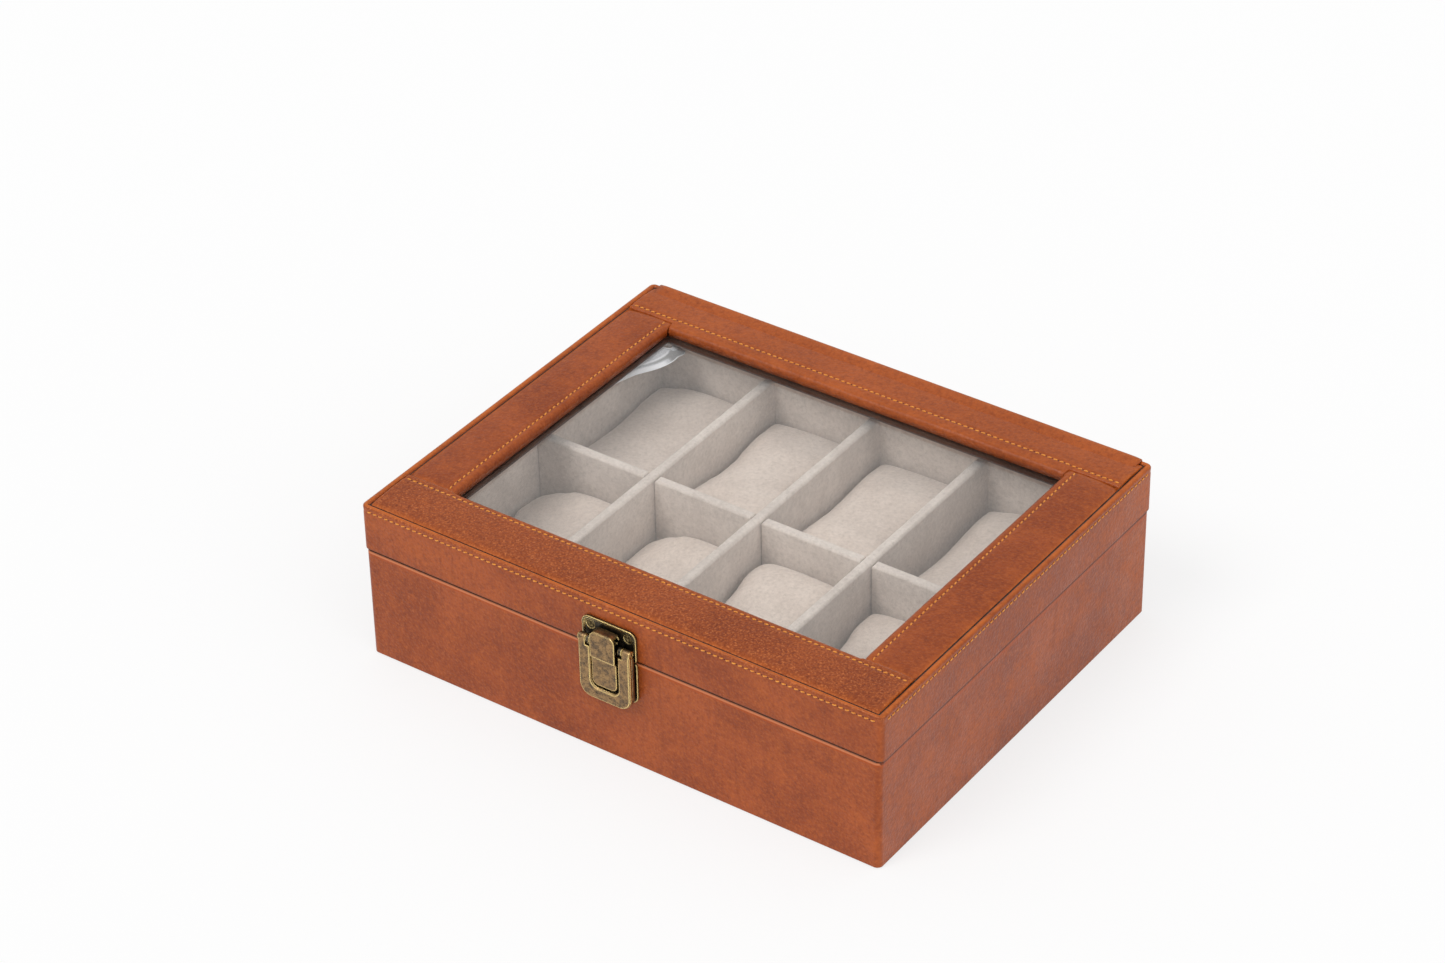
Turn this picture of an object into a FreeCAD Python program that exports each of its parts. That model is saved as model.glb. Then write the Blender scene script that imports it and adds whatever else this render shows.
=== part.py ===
"""Leather watch case with a glazed lid, eight cushions and a brass lever latch.

Frame: origin at the middle of the underside, X along the length, Y from the latch to the hinges,
Z up. All sizes are in millimetres.
"""
import FreeCAD, Part
import math
import os
import re
import Sketcher
from FreeCAD import Placement, Rotation, Vector

SIZES = {
    # whole case
    "case_length": 300.0,
    "case_depth": 240.0,
    "base_top": 62.4,
    "lid_gap": 0.5,
    "lid_top": 89.0,
    "base_inset": 1.0,
    "leather": 1.3,
    "corner": 3.0,
    "edge_round": 1.1,
    # base carcass and the suede tray that stands in it
    "felt": 1.0,
    "felt_inset": 1.6,
    "leather_low": 0.8,
    "floor_board": 5.0,
    "tray_floor": 2.0,
    "tray_wall": 4.8,
    "tray_top": 68.0,
    "tray_half_length": 133.5,
    "tray_half_depth": 103.2,
    "suede_round": 1.6,
    # dividers
    "divider": 5.6,
    "divider_pitch": 64.0,
    "cross_top": 67.4,
    "cross_gap": 0.5,
    # cushions
    "cushion_gap": 0.6,
    "cushion_shoulder": 43.6,
    "cushion_crown": 48.6,
    "cushion_dip": 7.6,
    "cushion_dish_over": 1.0,
    "cushion_end": 3.0,
    "cushion_waist": 2.6,
    # lid carcass, glass and its retaining strips
    "skirt": 9.5,
    "frame_board": 3.7,
    "glass": 3.0,
    "glass_margin": 9.0,
    "retainer": 3.2,
    "retainer_width": 11.0,
    "window_half_length": 118.0,
    "window_front": 87.0,
    "window_back": 89.0,
    # leather on the lid
    "lip": 2.4,
    "lip_sheet": 1.1,
    "panel_edge": 0.7,
    "panel_crown_radius": 150.0,
    "roll": 2.6,
    "back_panel_edge": 94.0,
    "back_band_half": 143.8,
    "back_band_proud": 1.3,
    # latch: distances in front of the case are measured from the leather's face
    "latch_middle": -1.0,
    "strike_half": 15.5,
    "strike_top": 79.8,
    "strike_low": 63.4,
    "strike_sheet": 1.6,
    "strike_rim": 1.3,
    "strike_recess": 0.5,
    "plate_round": 4.0,
    "tab_half": 4.5,
    "tab_low": 69.6,
    "tab_top": 75.0,
    "tab_out": 5.4,
    "tab_sheet": 0.8,
    "plate_low": 38.6,
    "plate_high": 61.8,
    "plate_sheet": 1.2,
    "pivot_out": 4.5,
    "pivot_high": 69.5,
    "pivot_pin": 1.0,
    "pivot_knuckle": 1.95,
    "ear_in": 8.2,
    "ear_out": 10.4,
    "ear_back": 2.0,
    "ear_front": 3.4,
    "ear_bend": 60.2,
    "running_gap": 0.05,
    "lever_half": 14.9,
    "lever_low": 36.4,
    "lever_back": 4.6,
    "lever_front": 6.4,
    "lever_knuckle_in": 10.7,
    "lever_shoulder": 66.2,
    "lever_round": 7.0,
    "lever_edge": 0.7,
    "lever_window_half": 7.9,
    "lever_window_low": 43.3,
    "lever_window_round": 4.0,
    "lever_flange": 1.2,
    "lever_flange_back": 2.6,
    "link_out": 4.3,
    "link_high": 57.0,
    "link_pin": 0.8,
    "hook_half": 7.0,
    "hook_corner": 3.0,
    "hook_low": 45.3,
    "hook_eye": 1.7,
    "hook_back": 5.2,
    "hook_front": 6.2,
    "hook_step": 61.2,
    "hook_rise": 1.2,
    "hook_top": 76.5,
    "hook_sheet": 1.0,
    "hook_lip_back": 2.3,
    "hook_lip_front": 3.1,
    "hook_lip_low": 74.0,
    # screws
    "screw_head": 2.3,
    "screw_sink": 1.3,
    "screw_shank": 1.0,
    "screw_hole": 1.4,
    "screw_length": 7.0,
    "strike_screw_out": 10.8,
    "strike_screw_high": 75.2,
    "plate_screw_out": 4.4,
    "plate_screw_high": 49.0,
    # hinges
    "hinge_place": 92.0,
    "hinge_half": 20.0,
    "hinge_leaf": 1.0,
    "hinge_reach": 13.0,
    "hinge_axis_out": 2.6,
    "hinge_knuckle": 2.2,
    "hinge_pin": 1.15,
    "hinge_clear": 2.6,
    "hinge_middle_half": 6.8,
    "hinge_side_gap": 0.2,
    "hinge_screw_out": 13.0,
    "hinge_screw_reach": 8.6,
    # stay ribbon, standing on edge in a hairpin loop
    "ribbon_low": 66.0,
    "ribbon_sheet": 0.4,
    "ribbon_turn": 5.0,
    "ribbon_start": 52.0,
    "ribbon_tip_along": 86.0,
    "ribbon_tip_in": 17.5,
    "ribbon_end_along": 79.0,
    "ribbon_end_in": 4.5,
}

doc = FreeCAD.newDocument("WatchCase")
sheet = doc.addObject("Spreadsheet::Sheet", "Sizes")
for row, (alias, value) in enumerate(SIZES.items(), 1):
    sheet.set(f"A{row}", alias)
    sheet.set(f"B{row}", str(value))
    sheet.setAlias(f"B{row}", alias)
doc.recompute()

pieces = []


def cells(text):
    """The expression with each named size pointing at its cell in the sheet."""
    return re.sub(r"[a-z_]+", lambda word: f"Sizes.{word[0]}" if word[0] in SIZES else word[0], str(text))


def size(text):
    """The value of an expression of named sizes."""
    return float(sheet.evalExpression(cells(text)))


def bind(item, prop, text):
    item.setExpression(prop, cells(text))


def ahead(distance):
    """The Y of something this far in front of the case."""
    return f"-(case_depth / 2 + {distance})"


def piece(item, label):
    """Marks a finished sub-part; its label is the name of its file."""
    item.Label = label
    pieces.append(item)
    return item


def box(name, x, y, z):
    """A rectangular block between two limits on each axis."""
    block = doc.addObject("Part::Box", name)
    for prop, axis, (low, high) in (("Length", "x", x), ("Width", "y", y), ("Height", "z", z)):
        bind(block, prop, f"({high}) - ({low})")
        bind(block, f"Placement.Base.{axis}", low)
    return block


def board(label, x, y, z):
    return piece(box(label, x, y, z), label)


def rod(name, radius, start, end, y, z):
    """A round bar along X between two limits."""
    bar = doc.addObject("Part::Cylinder", name)
    bind(bar, "Radius", radius)
    bind(bar, "Height", f"({end}) - ({start})")
    bar.Placement = Placement(Vector(), Rotation(Vector(0, 1, 0), 90))
    bind(bar, "Placement.Base.x", start)
    bind(bar, "Placement.Base.y", y)
    bind(bar, "Placement.Base.z", z)
    return bar


def join(kind, name, parts):
    """Several shapes as one fused solid or as a group of separate solids."""
    whole = doc.addObject(f"Part::{kind}", name)
    if kind == "Compound":
        whole.Links = parts
    else:
        whole.Shapes = parts
    return whole


def cut(name, base, tool):
    result = doc.addObject("Part::Cut", name)
    result.Base = base
    result.Tool = tool
    return result


def new_body(label):
    return piece(doc.addObject("PartDesign::Body", label), label)


def sketch_on(body, role, offset="0"):
    """An empty sketch on one of the body's origin planes, moved along the plane's normal."""
    sketch = body.newObject("Sketcher::SketchObject", f"{body.Name}_sketch")
    plane = next(item for item in body.Origin.OriginFeatures if item.Role == role)
    sketch.AttachmentSupport = (plane, [""])
    sketch.MapMode = "FlatFace"
    bind(sketch, "AttachmentOffset.Base.z", offset)
    return sketch


def arc_middle(start, end, radius):
    """The middle of an arc; a positive radius bends it to the right of its chord."""
    chord = end - start
    drop = abs(radius) - math.sqrt(max(radius ** 2 - chord.Length ** 2 / 4, 0.0))
    aside = Vector(chord.y, -chord.x, 0).normalize()
    return (start + end) / 2 + aside * math.copysign(drop, radius)


def outline(sketch, corners):
    """A closed outline, anticlockwise. A corner is (x, y), or (x, y, radius) if an arc leaves it."""
    spots = [Vector(size(corner[0]), size(corner[1]), 0) for corner in corners]
    edges = []
    for index, corner in enumerate(corners):
        start = spots[index]
        end = spots[(index + 1) % len(spots)]
        if len(corner) == 2:
            edges.append((sketch.addGeometry(Part.LineSegment(start, end)), 1, 2))
            continue
        middle = arc_middle(start, end, size(corner[2]))
        if size(corner[2]) > 0:
            edges.append((sketch.addGeometry(Part.Arc(start, middle, end)), 1, 2))
        else:
            edges.append((sketch.addGeometry(Part.Arc(end, middle, start)), 2, 1))
    for (edge, head, tail), after in zip(edges, edges[1:] + edges[:1]):
        sketch.addConstraint(Sketcher.Constraint("Coincident", edge, tail, after[0], after[1]))
    for (edge, head, tail), corner in zip(edges, corners):
        for kind, text in zip(("DistanceX", "DistanceY"), corner):
            spot = sketch.addConstraint(Sketcher.Constraint(kind, -1, 1, edge, head, size(text)))
            bind(sketch, f"Constraints[{spot}]", text)
        if len(corner) == 3:
            bend = sketch.addConstraint(Sketcher.Constraint("Radius", edge, abs(size(corner[2]))))
            bind(sketch, f"Constraints[{bend}]", f"abs({corner[2]})")


def circle(sketch, x, y, radius):
    ring = sketch.addGeometry(Part.Circle(Vector(size(x), size(y), 0), Vector(0, 0, 1), size(radius)))
    for kind, text in (("DistanceX", x), ("DistanceY", y)):
        spot = sketch.addConstraint(Sketcher.Constraint(kind, -1, 1, ring, 3, size(text)))
        bind(sketch, f"Constraints[{spot}]", text)
    bend = sketch.addConstraint(Sketcher.Constraint("Radius", ring, size(radius)))
    bind(sketch, f"Constraints[{bend}]", radius)


def rectangle(x, y):
    return [(x[0], y[0]), (x[1], y[0]), (x[1], y[1]), (x[0], y[1])]


def round_rectangle(half_x, half_y, radius):
    """A rectangle about the origin with rounded corners."""
    return [
        (f"{half_x} - {radius}", f"-({half_y})", radius),
        (half_x, f"{radius} - ({half_y})"),
        (half_x, f"{half_y} - {radius}", radius),
        (f"{half_x} - {radius}", half_y),
        (f"{radius} - ({half_x})", half_y, radius),
        (f"-({half_x})", f"{half_y} - {radius}"),
        (f"-({half_x})", f"{radius} - ({half_y})", radius),
        (f"{radius} - ({half_x})", f"-({half_y})"),
    ]


def pad(body, sketch, length):
    """Adds material along the sketch's normal."""
    feature = body.newObject("PartDesign::Pad", f"{body.Name}_pad")
    feature.Profile = sketch
    bind(feature, "Length", length)
    return feature


def pocket(body, sketch, depth):
    """Removes material against the sketch's normal."""
    feature = body.newObject("PartDesign::Pocket", f"{body.Name}_pocket")
    feature.Profile = sketch
    bind(feature, "Length", depth)
    return feature


def round_edges(body, test, radius, kind="Fillet"):
    """Rounds or bevels the edges of the body's last feature that pass the test."""
    doc.recompute()
    base = body.Tip
    names = [f"Edge{index}" for index, edge in enumerate(base.Shape.Edges, 1) if test(edge)]
    feature = body.newObject(f"PartDesign::{kind}", f"{body.Name}_edges")
    feature.Base = (base, names)
    bind(feature, "Radius" if kind == "Fillet" else "Size", radius)
    return feature


def level(edge, axis, value):
    """True if the whole edge lies at this value of x, y or z."""
    reach = edge.BoundBox
    low = getattr(reach, f"{axis.upper()}Min")
    high = getattr(reach, f"{axis.upper()}Max")
    return abs(low - value) < 1e-3 and abs(high - value) < 1e-3


def along(edge, axis):
    """True if the edge is a straight run along x, y or z."""
    reach = edge.BoundBox
    spans = {"x": reach.XLength, "y": reach.YLength, "z": reach.ZLength}
    length = spans.pop(axis)
    return length > 0.3 and max(spans.values()) < 1e-3


# Limits that several pieces share
BOARD_X = "case_length / 2 - base_inset - leather"
BOARD_Y = "case_depth / 2 - leather"
TRAY_X = "tray_half_length + tray_wall"
TRAY_Y = "tray_half_depth + tray_wall"
BOARD_TOP = "base_top - leather"
FLOOR_TOP = "felt + floor_board"
TRAY_BED = "felt + floor_board + tray_floor"
LID_LOW = "base_top + lid_gap"
SKIRT_X = "case_length / 2 - leather"
FRAME_TOP = "lid_top - leather"
FRAME_LOW = "lid_top - leather - frame_board"
GLASS_LOW = "lid_top - leather - frame_board - glass"


def both(limit):
    return (f"-({limit})", limit)


def base_carcass():
    """Floor and four boards, felted underneath."""
    board("bottom_felt", both("case_length / 2 - base_inset - felt_inset"),
          both("case_depth / 2 - felt_inset"), ("0", "felt"))
    board("floor_board", both(TRAY_X), both(TRAY_Y), ("felt", FLOOR_TOP))
    height = ("felt", BOARD_TOP)
    board("base_front_board", both(BOARD_X), (f"-({BOARD_Y})", f"-({TRAY_Y})"), height)
    board("base_back_board", both(BOARD_X), (TRAY_Y, BOARD_Y), height)
    board("base_left_board", (f"-({BOARD_X})", f"-({TRAY_X})"), both(TRAY_Y), height)
    board("base_right_board", (TRAY_X, BOARD_X), both(TRAY_Y), height)


def base_leather():
    """Hide round the four sides, turned in over the boards' top edges up to the tray."""
    body = new_body("base_leather")
    outer = sketch_on(body, "XY_Plane", "leather_low")
    outline(outer, round_rectangle("(case_length / 2 - base_inset)", "case_depth / 2", "corner"))
    pad(body, outer, "base_top - leather_low")
    inside = sketch_on(body, "XY_Plane", BOARD_TOP)
    outline(inside, rectangle(both(BOARD_X), both(BOARD_Y)))
    pocket(body, inside, f"{BOARD_TOP} - leather_low")
    mouth = sketch_on(body, "XY_Plane", "base_top")
    outline(mouth, rectangle(both(TRAY_X), both(TRAY_Y)))
    pocket(body, mouth, "leather")
    rim = size("case_depth / 2 - corner - 1")
    round_edges(body, lambda edge: level(edge, "z", size("base_top"))
                and max(abs(edge.BoundBox.YMin), abs(edge.BoundBox.YMax)) > rim, "edge_round")


def soft_board(label, x, y, z, rounded):
    """A suede-covered card wall whose top edges along the given axes are rounded."""
    body = new_body(label)
    foot = sketch_on(body, "XY_Plane", z[0])
    outline(foot, rectangle(x, y))
    pad(body, foot, f"({z[1]}) - ({z[0]})")
    top = size(z[1])
    round_edges(body, lambda edge: any(level(edge, "z", top) and along(edge, axis) for axis in rounded),
                "suede_round")


def tray():
    board("tray_floor", both("tray_half_length"), both("tray_half_depth"), (FLOOR_TOP, TRAY_BED))
    height = (FLOOR_TOP, "tray_top")
    soft_board("tray_left_wall", (f"-({TRAY_X})", "-tray_half_length"), both(TRAY_Y), height, "y")
    soft_board("tray_right_wall", ("tray_half_length", TRAY_X), both(TRAY_Y), height, "y")
    soft_board("tray_front_wall", both("tray_half_length"), (f"-({TRAY_Y})", "-tray_half_depth"), height, "x")
    soft_board("tray_back_wall", both("tray_half_length"), ("tray_half_depth", TRAY_Y), height, "x")


def bow_radius(half, rise):
    """Radius of an arc of this half width that rises by this much."""
    return f"(({half}) ^ 2 + {rise} ^ 2) / (2 * {rise})"


def column_limits(column):
    """The clear X limits of one of the four columns of compartments, counted from the left."""
    low = "-tray_half_length" if column == 0 else f"divider_pitch * {column - 2} + divider / 2"
    high = "tray_half_length" if column == 3 else f"divider_pitch * {column - 1} - divider / 2"
    return low, high


def dividers():
    for place, label in zip((-1, 0, 1), ("divider_left", "divider_middle", "divider_right")):
        middle = f"divider_pitch * {place}"
        soft_board(label, (f"{middle} - divider / 2", f"{middle} + divider / 2"), both("tray_half_depth"),
                   (TRAY_BED, "tray_top"), "y")
    for column in range(4):
        low, high = column_limits(column)
        soft_board(f"cross_divider_{column + 1}", (f"{low} + cross_gap", f"{high} - cross_gap"),
                   both("divider / 2"), (TRAY_BED, "cross_top"), "xy")


def cushion(label, column, side):
    """A cushion crowned along its length, dished across its middle and drawn in at its waist."""
    low, high = column_limits(column)
    left = f"({low}) + cushion_gap"
    right = f"({high}) - cushion_gap"
    near = "(divider / 2 + cushion_gap)"
    far = "(tray_half_depth - cushion_gap)"
    front, back = sorted((f"{near} * {side}", f"{far} * {side}"), key=size)
    body = new_body(label)
    crown = "(cushion_crown - cushion_shoulder)"
    section = sketch_on(body, "XZ_Plane", f"-({back})")
    outline(section, [
        (left, TRAY_BED),
        (right, TRAY_BED),
        (right, "cushion_shoulder", bow_radius(f"(({right}) - ({left})) / 2", crown)),
        (left, "cushion_shoulder"),
    ])
    pad(body, section, f"{far} - {near}")
    dish_top = "cushion_crown + cushion_dish_over"
    dish = sketch_on(body, "YZ_Plane", high)
    outline(dish, [
        (f"{front} + cushion_end", dish_top,
         bow_radius(f"(({far} - {near}) / 2 - cushion_end)", "(cushion_dip + cushion_dish_over)")),
        (f"{back} - cushion_end", dish_top),
    ])
    pocket(body, dish, f"({high}) - ({low})")
    waist_radius = bow_radius(f"({far} - {near}) / 2", "cushion_waist")
    waist = sketch_on(body, "XY_Plane", "cushion_crown")
    outline(waist, [
        (right, front),
        (high, front),
        (high, back),
        (right, back, waist_radius),
    ])
    outline(waist, [
        (left, back),
        (low, back),
        (low, front),
        (left, front, waist_radius),
    ])
    pocket(body, waist, f"cushion_crown - ({TRAY_BED})")


def cushions():
    for row, side in (("front", -1), ("back", 1)):
        for column in range(4):
            cushion(f"cushion_{row}_{column + 1}", column, side)


def lid_carcass():
    """Skirt boards, the flat rails that frame the window, the glass and its retaining strips."""
    low = f"{LID_LOW} + leather"
    inner_x = f"{SKIRT_X} - skirt"
    inner_y = f"{BOARD_Y} - skirt"
    height = (low, FRAME_LOW)
    board("lid_front_board", both(SKIRT_X), (f"-({BOARD_Y})", f"-({inner_y})"), height)
    board("lid_back_board", both(SKIRT_X), (inner_y, BOARD_Y), height)
    board("lid_left_board", (f"-({SKIRT_X})", f"-({inner_x})"), both(inner_y), height)
    board("lid_right_board", (inner_x, SKIRT_X), both(inner_y), height)
    front = "-(window_front + leather)"
    back = "window_back + leather"
    side = "window_half_length + leather"
    height = (FRAME_LOW, FRAME_TOP)
    board("lid_front_rail", both(SKIRT_X), (f"-({BOARD_Y})", front), height)
    board("lid_back_rail", both(SKIRT_X), (back, BOARD_Y), height)
    board("lid_left_rail", (f"-({SKIRT_X})", f"-({side})"), (front, back), height)
    board("lid_right_rail", (side, SKIRT_X), (front, back), height)
    board("glass_pane", both("window_half_length + glass_margin"),
          ("-(window_front + glass_margin)", "window_back + glass_margin"), (GLASS_LOW, FRAME_LOW))
    height = (f"{GLASS_LOW} - retainer", GLASS_LOW)
    reach = "window_half_length + retainer_width"
    board("glass_retainer_front", both(reach), ("-(window_front + retainer_width)", "-window_front"), height)
    board("glass_retainer_back", both(reach), ("window_back", "window_back + retainer_width"), height)
    length = ("-window_front", "window_back")
    board("glass_retainer_left", (f"-({reach})", "-window_half_length"), length, height)
    board("glass_retainer_right", ("window_half_length", reach), length, height)


def lid_side_band():
    """Hide round the lid's sides, turned over the top as a narrow lip and under the skirt boards."""
    body = new_body("lid_side_band")
    outer = sketch_on(body, "XY_Plane", LID_LOW)
    outline(outer, round_rectangle("(case_length / 2)", "case_depth / 2", "corner"))
    lip_top = f"{FRAME_TOP} + lip_sheet"
    pad(body, outer, f"{lip_top} - ({LID_LOW})")
    inside = sketch_on(body, "XY_Plane", FRAME_TOP)
    outline(inside, rectangle(both(SKIRT_X), both(BOARD_Y)))
    pocket(body, inside, f"{FRAME_TOP} - ({LID_LOW}) - leather")
    mouth = sketch_on(body, "XY_Plane", lip_top)
    outline(mouth, rectangle(both("case_length / 2 - lip"), both("case_depth / 2 - lip")))
    pocket(body, mouth, "lip_sheet")
    throat = sketch_on(body, "XY_Plane", f"{LID_LOW} + leather")
    outline(throat, rectangle(both(f"{SKIRT_X} - skirt"), both(f"{BOARD_Y} - skirt")))
    pocket(body, throat, "leather")
    back_gap = sketch_on(body, "XY_Plane", lip_top)
    outline(back_gap, rectangle(both("back_band_half"), ("case_depth / 2 - lip", "case_depth / 2 + 1")))
    pocket(body, back_gap, f"{lip_top} - ({LID_LOW})")
    rim = size("case_depth / 2 - corner - 1")
    top = size(lip_top)
    round_edges(body, lambda edge: level(edge, "z", top) and edge.BoundBox.YMin < rim
                and max(abs(edge.BoundBox.XMin), abs(edge.BoundBox.XMax)) > size("case_length / 2 - corner - 1")
                and (abs(edge.BoundBox.XMax) > size("case_length / 2 - lip / 2")
                     or abs(edge.BoundBox.XMin) > size("case_length / 2 - lip / 2")), "lip_sheet * 0.9")


def lid_back_band():
    """Separate strip of hide on the lid's back, whose turned edge stands proud of the top."""
    body = new_body("lid_back_band")
    top = "lid_top + back_band_proud"
    profile = sketch_on(body, "YZ_Plane", "-back_band_half")
    outline(profile, [
        (BOARD_Y, LID_LOW),
        ("case_depth / 2", LID_LOW),
        ("case_depth / 2", f"{top} - edge_round", "edge_round"),
        ("case_depth / 2 - edge_round", top),
        ("case_depth / 2 - lip + edge_round", top, "edge_round"),
        ("case_depth / 2 - lip", f"{top} - edge_round"),
        ("case_depth / 2 - lip", FRAME_TOP),
        (BOARD_Y, FRAME_TOP),
    ])
    pad(body, profile, "back_band_half * 2")


def panel_profile(outer, window, sign):
    """Section of a top panel: crowned from its outer edge and rolled over the window's edge."""
    return [
        (outer, FRAME_TOP),
        (outer, f"{FRAME_TOP} + panel_edge", f"({sign}) * panel_crown_radius"),
        (f"{window} + ({sign}) * roll", "lid_top", f"({sign}) * roll"),
        (window, "lid_top - roll"),
        (window, FRAME_LOW),
        (f"{window} + ({sign}) * leather", FRAME_LOW),
        (f"{window} + ({sign}) * leather", FRAME_TOP),
    ]


def strip_profile(outer, edge, sign):
    """Section of a panel's ends, which lie flat over the side rails with a rounded free edge."""
    return [
        (outer, FRAME_TOP),
        (outer, f"{FRAME_TOP} + panel_edge", f"({sign}) * panel_crown_radius"),
        (f"{edge} + ({sign}) * leather", "lid_top", f"({sign}) * leather"),
        (edge, FRAME_TOP),
    ]


def top_panels():
    """Front and back panels run the whole length; the side panels end against them."""
    outer_y = "case_depth / 2 - lip"
    outer_x = "case_length / 2 - lip"
    limits = (("front_panel", f"-({outer_y})", "-window_front", "-window_front", -1),
              ("back_panel", outer_y, "back_panel_edge", "window_back", 1))
    for label, outer, edge, window, sign in limits:
        body = new_body(label)
        middle = sketch_on(body, "YZ_Plane", "-window_half_length")
        outline(middle, panel_profile(outer, window, sign))
        pad(body, middle, "window_half_length * 2")
        for start in (f"-({outer_x})", "window_half_length"):
            end = sketch_on(body, "YZ_Plane", start)
            outline(end, strip_profile(outer, edge, sign))
            pad(body, end, f"{outer_x} - window_half_length")
    for label, outer, window, sign in (("left_panel", f"-({outer_x})", "-window_half_length", -1),
                                       ("right_panel", outer_x, "window_half_length", 1)):
        body = new_body(label)
        middle = sketch_on(body, "XZ_Plane", "-window_back")
        outline(middle, panel_profile(outer, window, sign))
        pad(body, middle, "window_back + window_front")
        end = sketch_on(body, "XZ_Plane", "-back_panel_edge")
        outline(end, strip_profile(outer, window, sign))
        pad(body, end, "back_panel_edge - window_back")


def plate_outline(half, low, high, low_radius, high_radius):
    """A plate seen from the front, about the latch's middle line, with rounded corners."""
    left = f"latch_middle - {half}"
    right = f"latch_middle + {half}"
    return [
        (f"{left} + {low_radius}", low),
        (f"{right} - {low_radius}", low, low_radius),
        (right, f"{low} + {low_radius}"),
        (right, f"{high} - {high_radius}", high_radius),
        (f"{right} - {high_radius}", high),
        (f"{left} + {high_radius}", high, high_radius),
        (left, f"{high} - {high_radius}"),
        (left, f"{low} + {low_radius}", low_radius),
    ]


def front_sketch(body, distance):
    """A sketch facing forwards, this far in front of the case."""
    return sketch_on(body, "XZ_Plane", f"case_depth / 2 + {distance}")


def side_sketch(body, start):
    """A sketch seen from the side, at this distance from the latch's middle line."""
    return sketch_on(body, "YZ_Plane", f"latch_middle + {start}")


def screw_holes(body, sheet_out, places):
    """Clearance holes through a plate, countersunk from the front."""
    holes = front_sketch(body, sheet_out)
    for x, z in places:
        circle(holes, x, z, "screw_hole")
    pocket(body, holes, sheet_out)
    face = -size(f"case_depth / 2 + {sheet_out}")
    across = size("screw_hole * 2")
    round_edges(body, lambda edge: level(edge, "y", face) and abs(edge.BoundBox.XLength - across) < 0.01,
                "screw_head + running_gap - screw_hole", "Chamfer")


def strike_places():
    return [(f"latch_middle + {side} * strike_screw_out", "strike_screw_high") for side in (-1, 1)]


def plate_places():
    return [(f"latch_middle + {side} * plate_screw_out", "plate_screw_high") for side in (-1, 1)]


def strike_plate():
    """Rimmed plate on the lid with the upturned tab that the hook pulls on."""
    body = new_body("strike_plate")
    shape = front_sketch(body, "0")
    outline(shape, plate_outline("strike_half", "strike_low", "strike_top", "1", "plate_round"))
    pad(body, shape, "strike_sheet")
    recess = front_sketch(body, "strike_sheet")
    outline(recess, plate_outline("(strike_half - strike_rim)", "strike_low + strike_rim",
                                  "strike_top - strike_rim", "0.8", "(plate_round - strike_rim)"))
    pocket(body, recess, "strike_recess")
    floor = "strike_sheet - strike_recess"
    screw_holes(body, floor, strike_places())
    tab = side_sketch(body, "-tab_half")
    outline(tab, [
        (ahead("tab_out"), "tab_low"),
        (ahead(f"{floor} - 0.1"), "tab_low"),
        (ahead(f"{floor} - 0.1"), "tab_low + tab_sheet"),
        (ahead("tab_out - tab_sheet"), "tab_low + tab_sheet"),
        (ahead("tab_out - tab_sheet"), "tab_top"),
        (ahead("tab_out"), "tab_top"),
    ])
    pad(body, tab, "tab_half * 2")


def latch_base_plate():
    """Plate on the base whose two ears carry the lever's pivots in front of the strike plate."""
    body = new_body("latch_base_plate")
    shape = front_sketch(body, "0")
    outline(shape, plate_outline("strike_half", "plate_low", "plate_high", "plate_round", "1"))
    pad(body, shape, "plate_sheet")
    screw_holes(body, "plate_sheet", plate_places())
    bend = "ear_bend"
    for start in ("-ear_out", "ear_in"):
        ear = side_sketch(body, start)
        outline(ear, [
            (ahead("ear_front"), bend),
            (ahead("plate_sheet - 0.1"), f"{bend} - 2"),
            (ahead("plate_sheet - 0.1"), f"{bend} + 0.8"),
            (ahead("ear_back"), f"{bend} + 1.6"),
            (ahead("ear_back"), "pivot_high"),
            (ahead("ear_front"), "pivot_high"),
        ])
        pad(body, ear, "ear_out - ear_in")
        knuckle = side_sketch(body, start)
        circle(knuckle, ahead("pivot_out"), "pivot_high", "pivot_knuckle")
        pad(body, knuckle, "ear_out - ear_in")
    bore = side_sketch(body, "ear_out")
    circle(bore, ahead("pivot_out"), "pivot_high", "pivot_pin")
    pocket(body, bore, "ear_out * 2")


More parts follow.
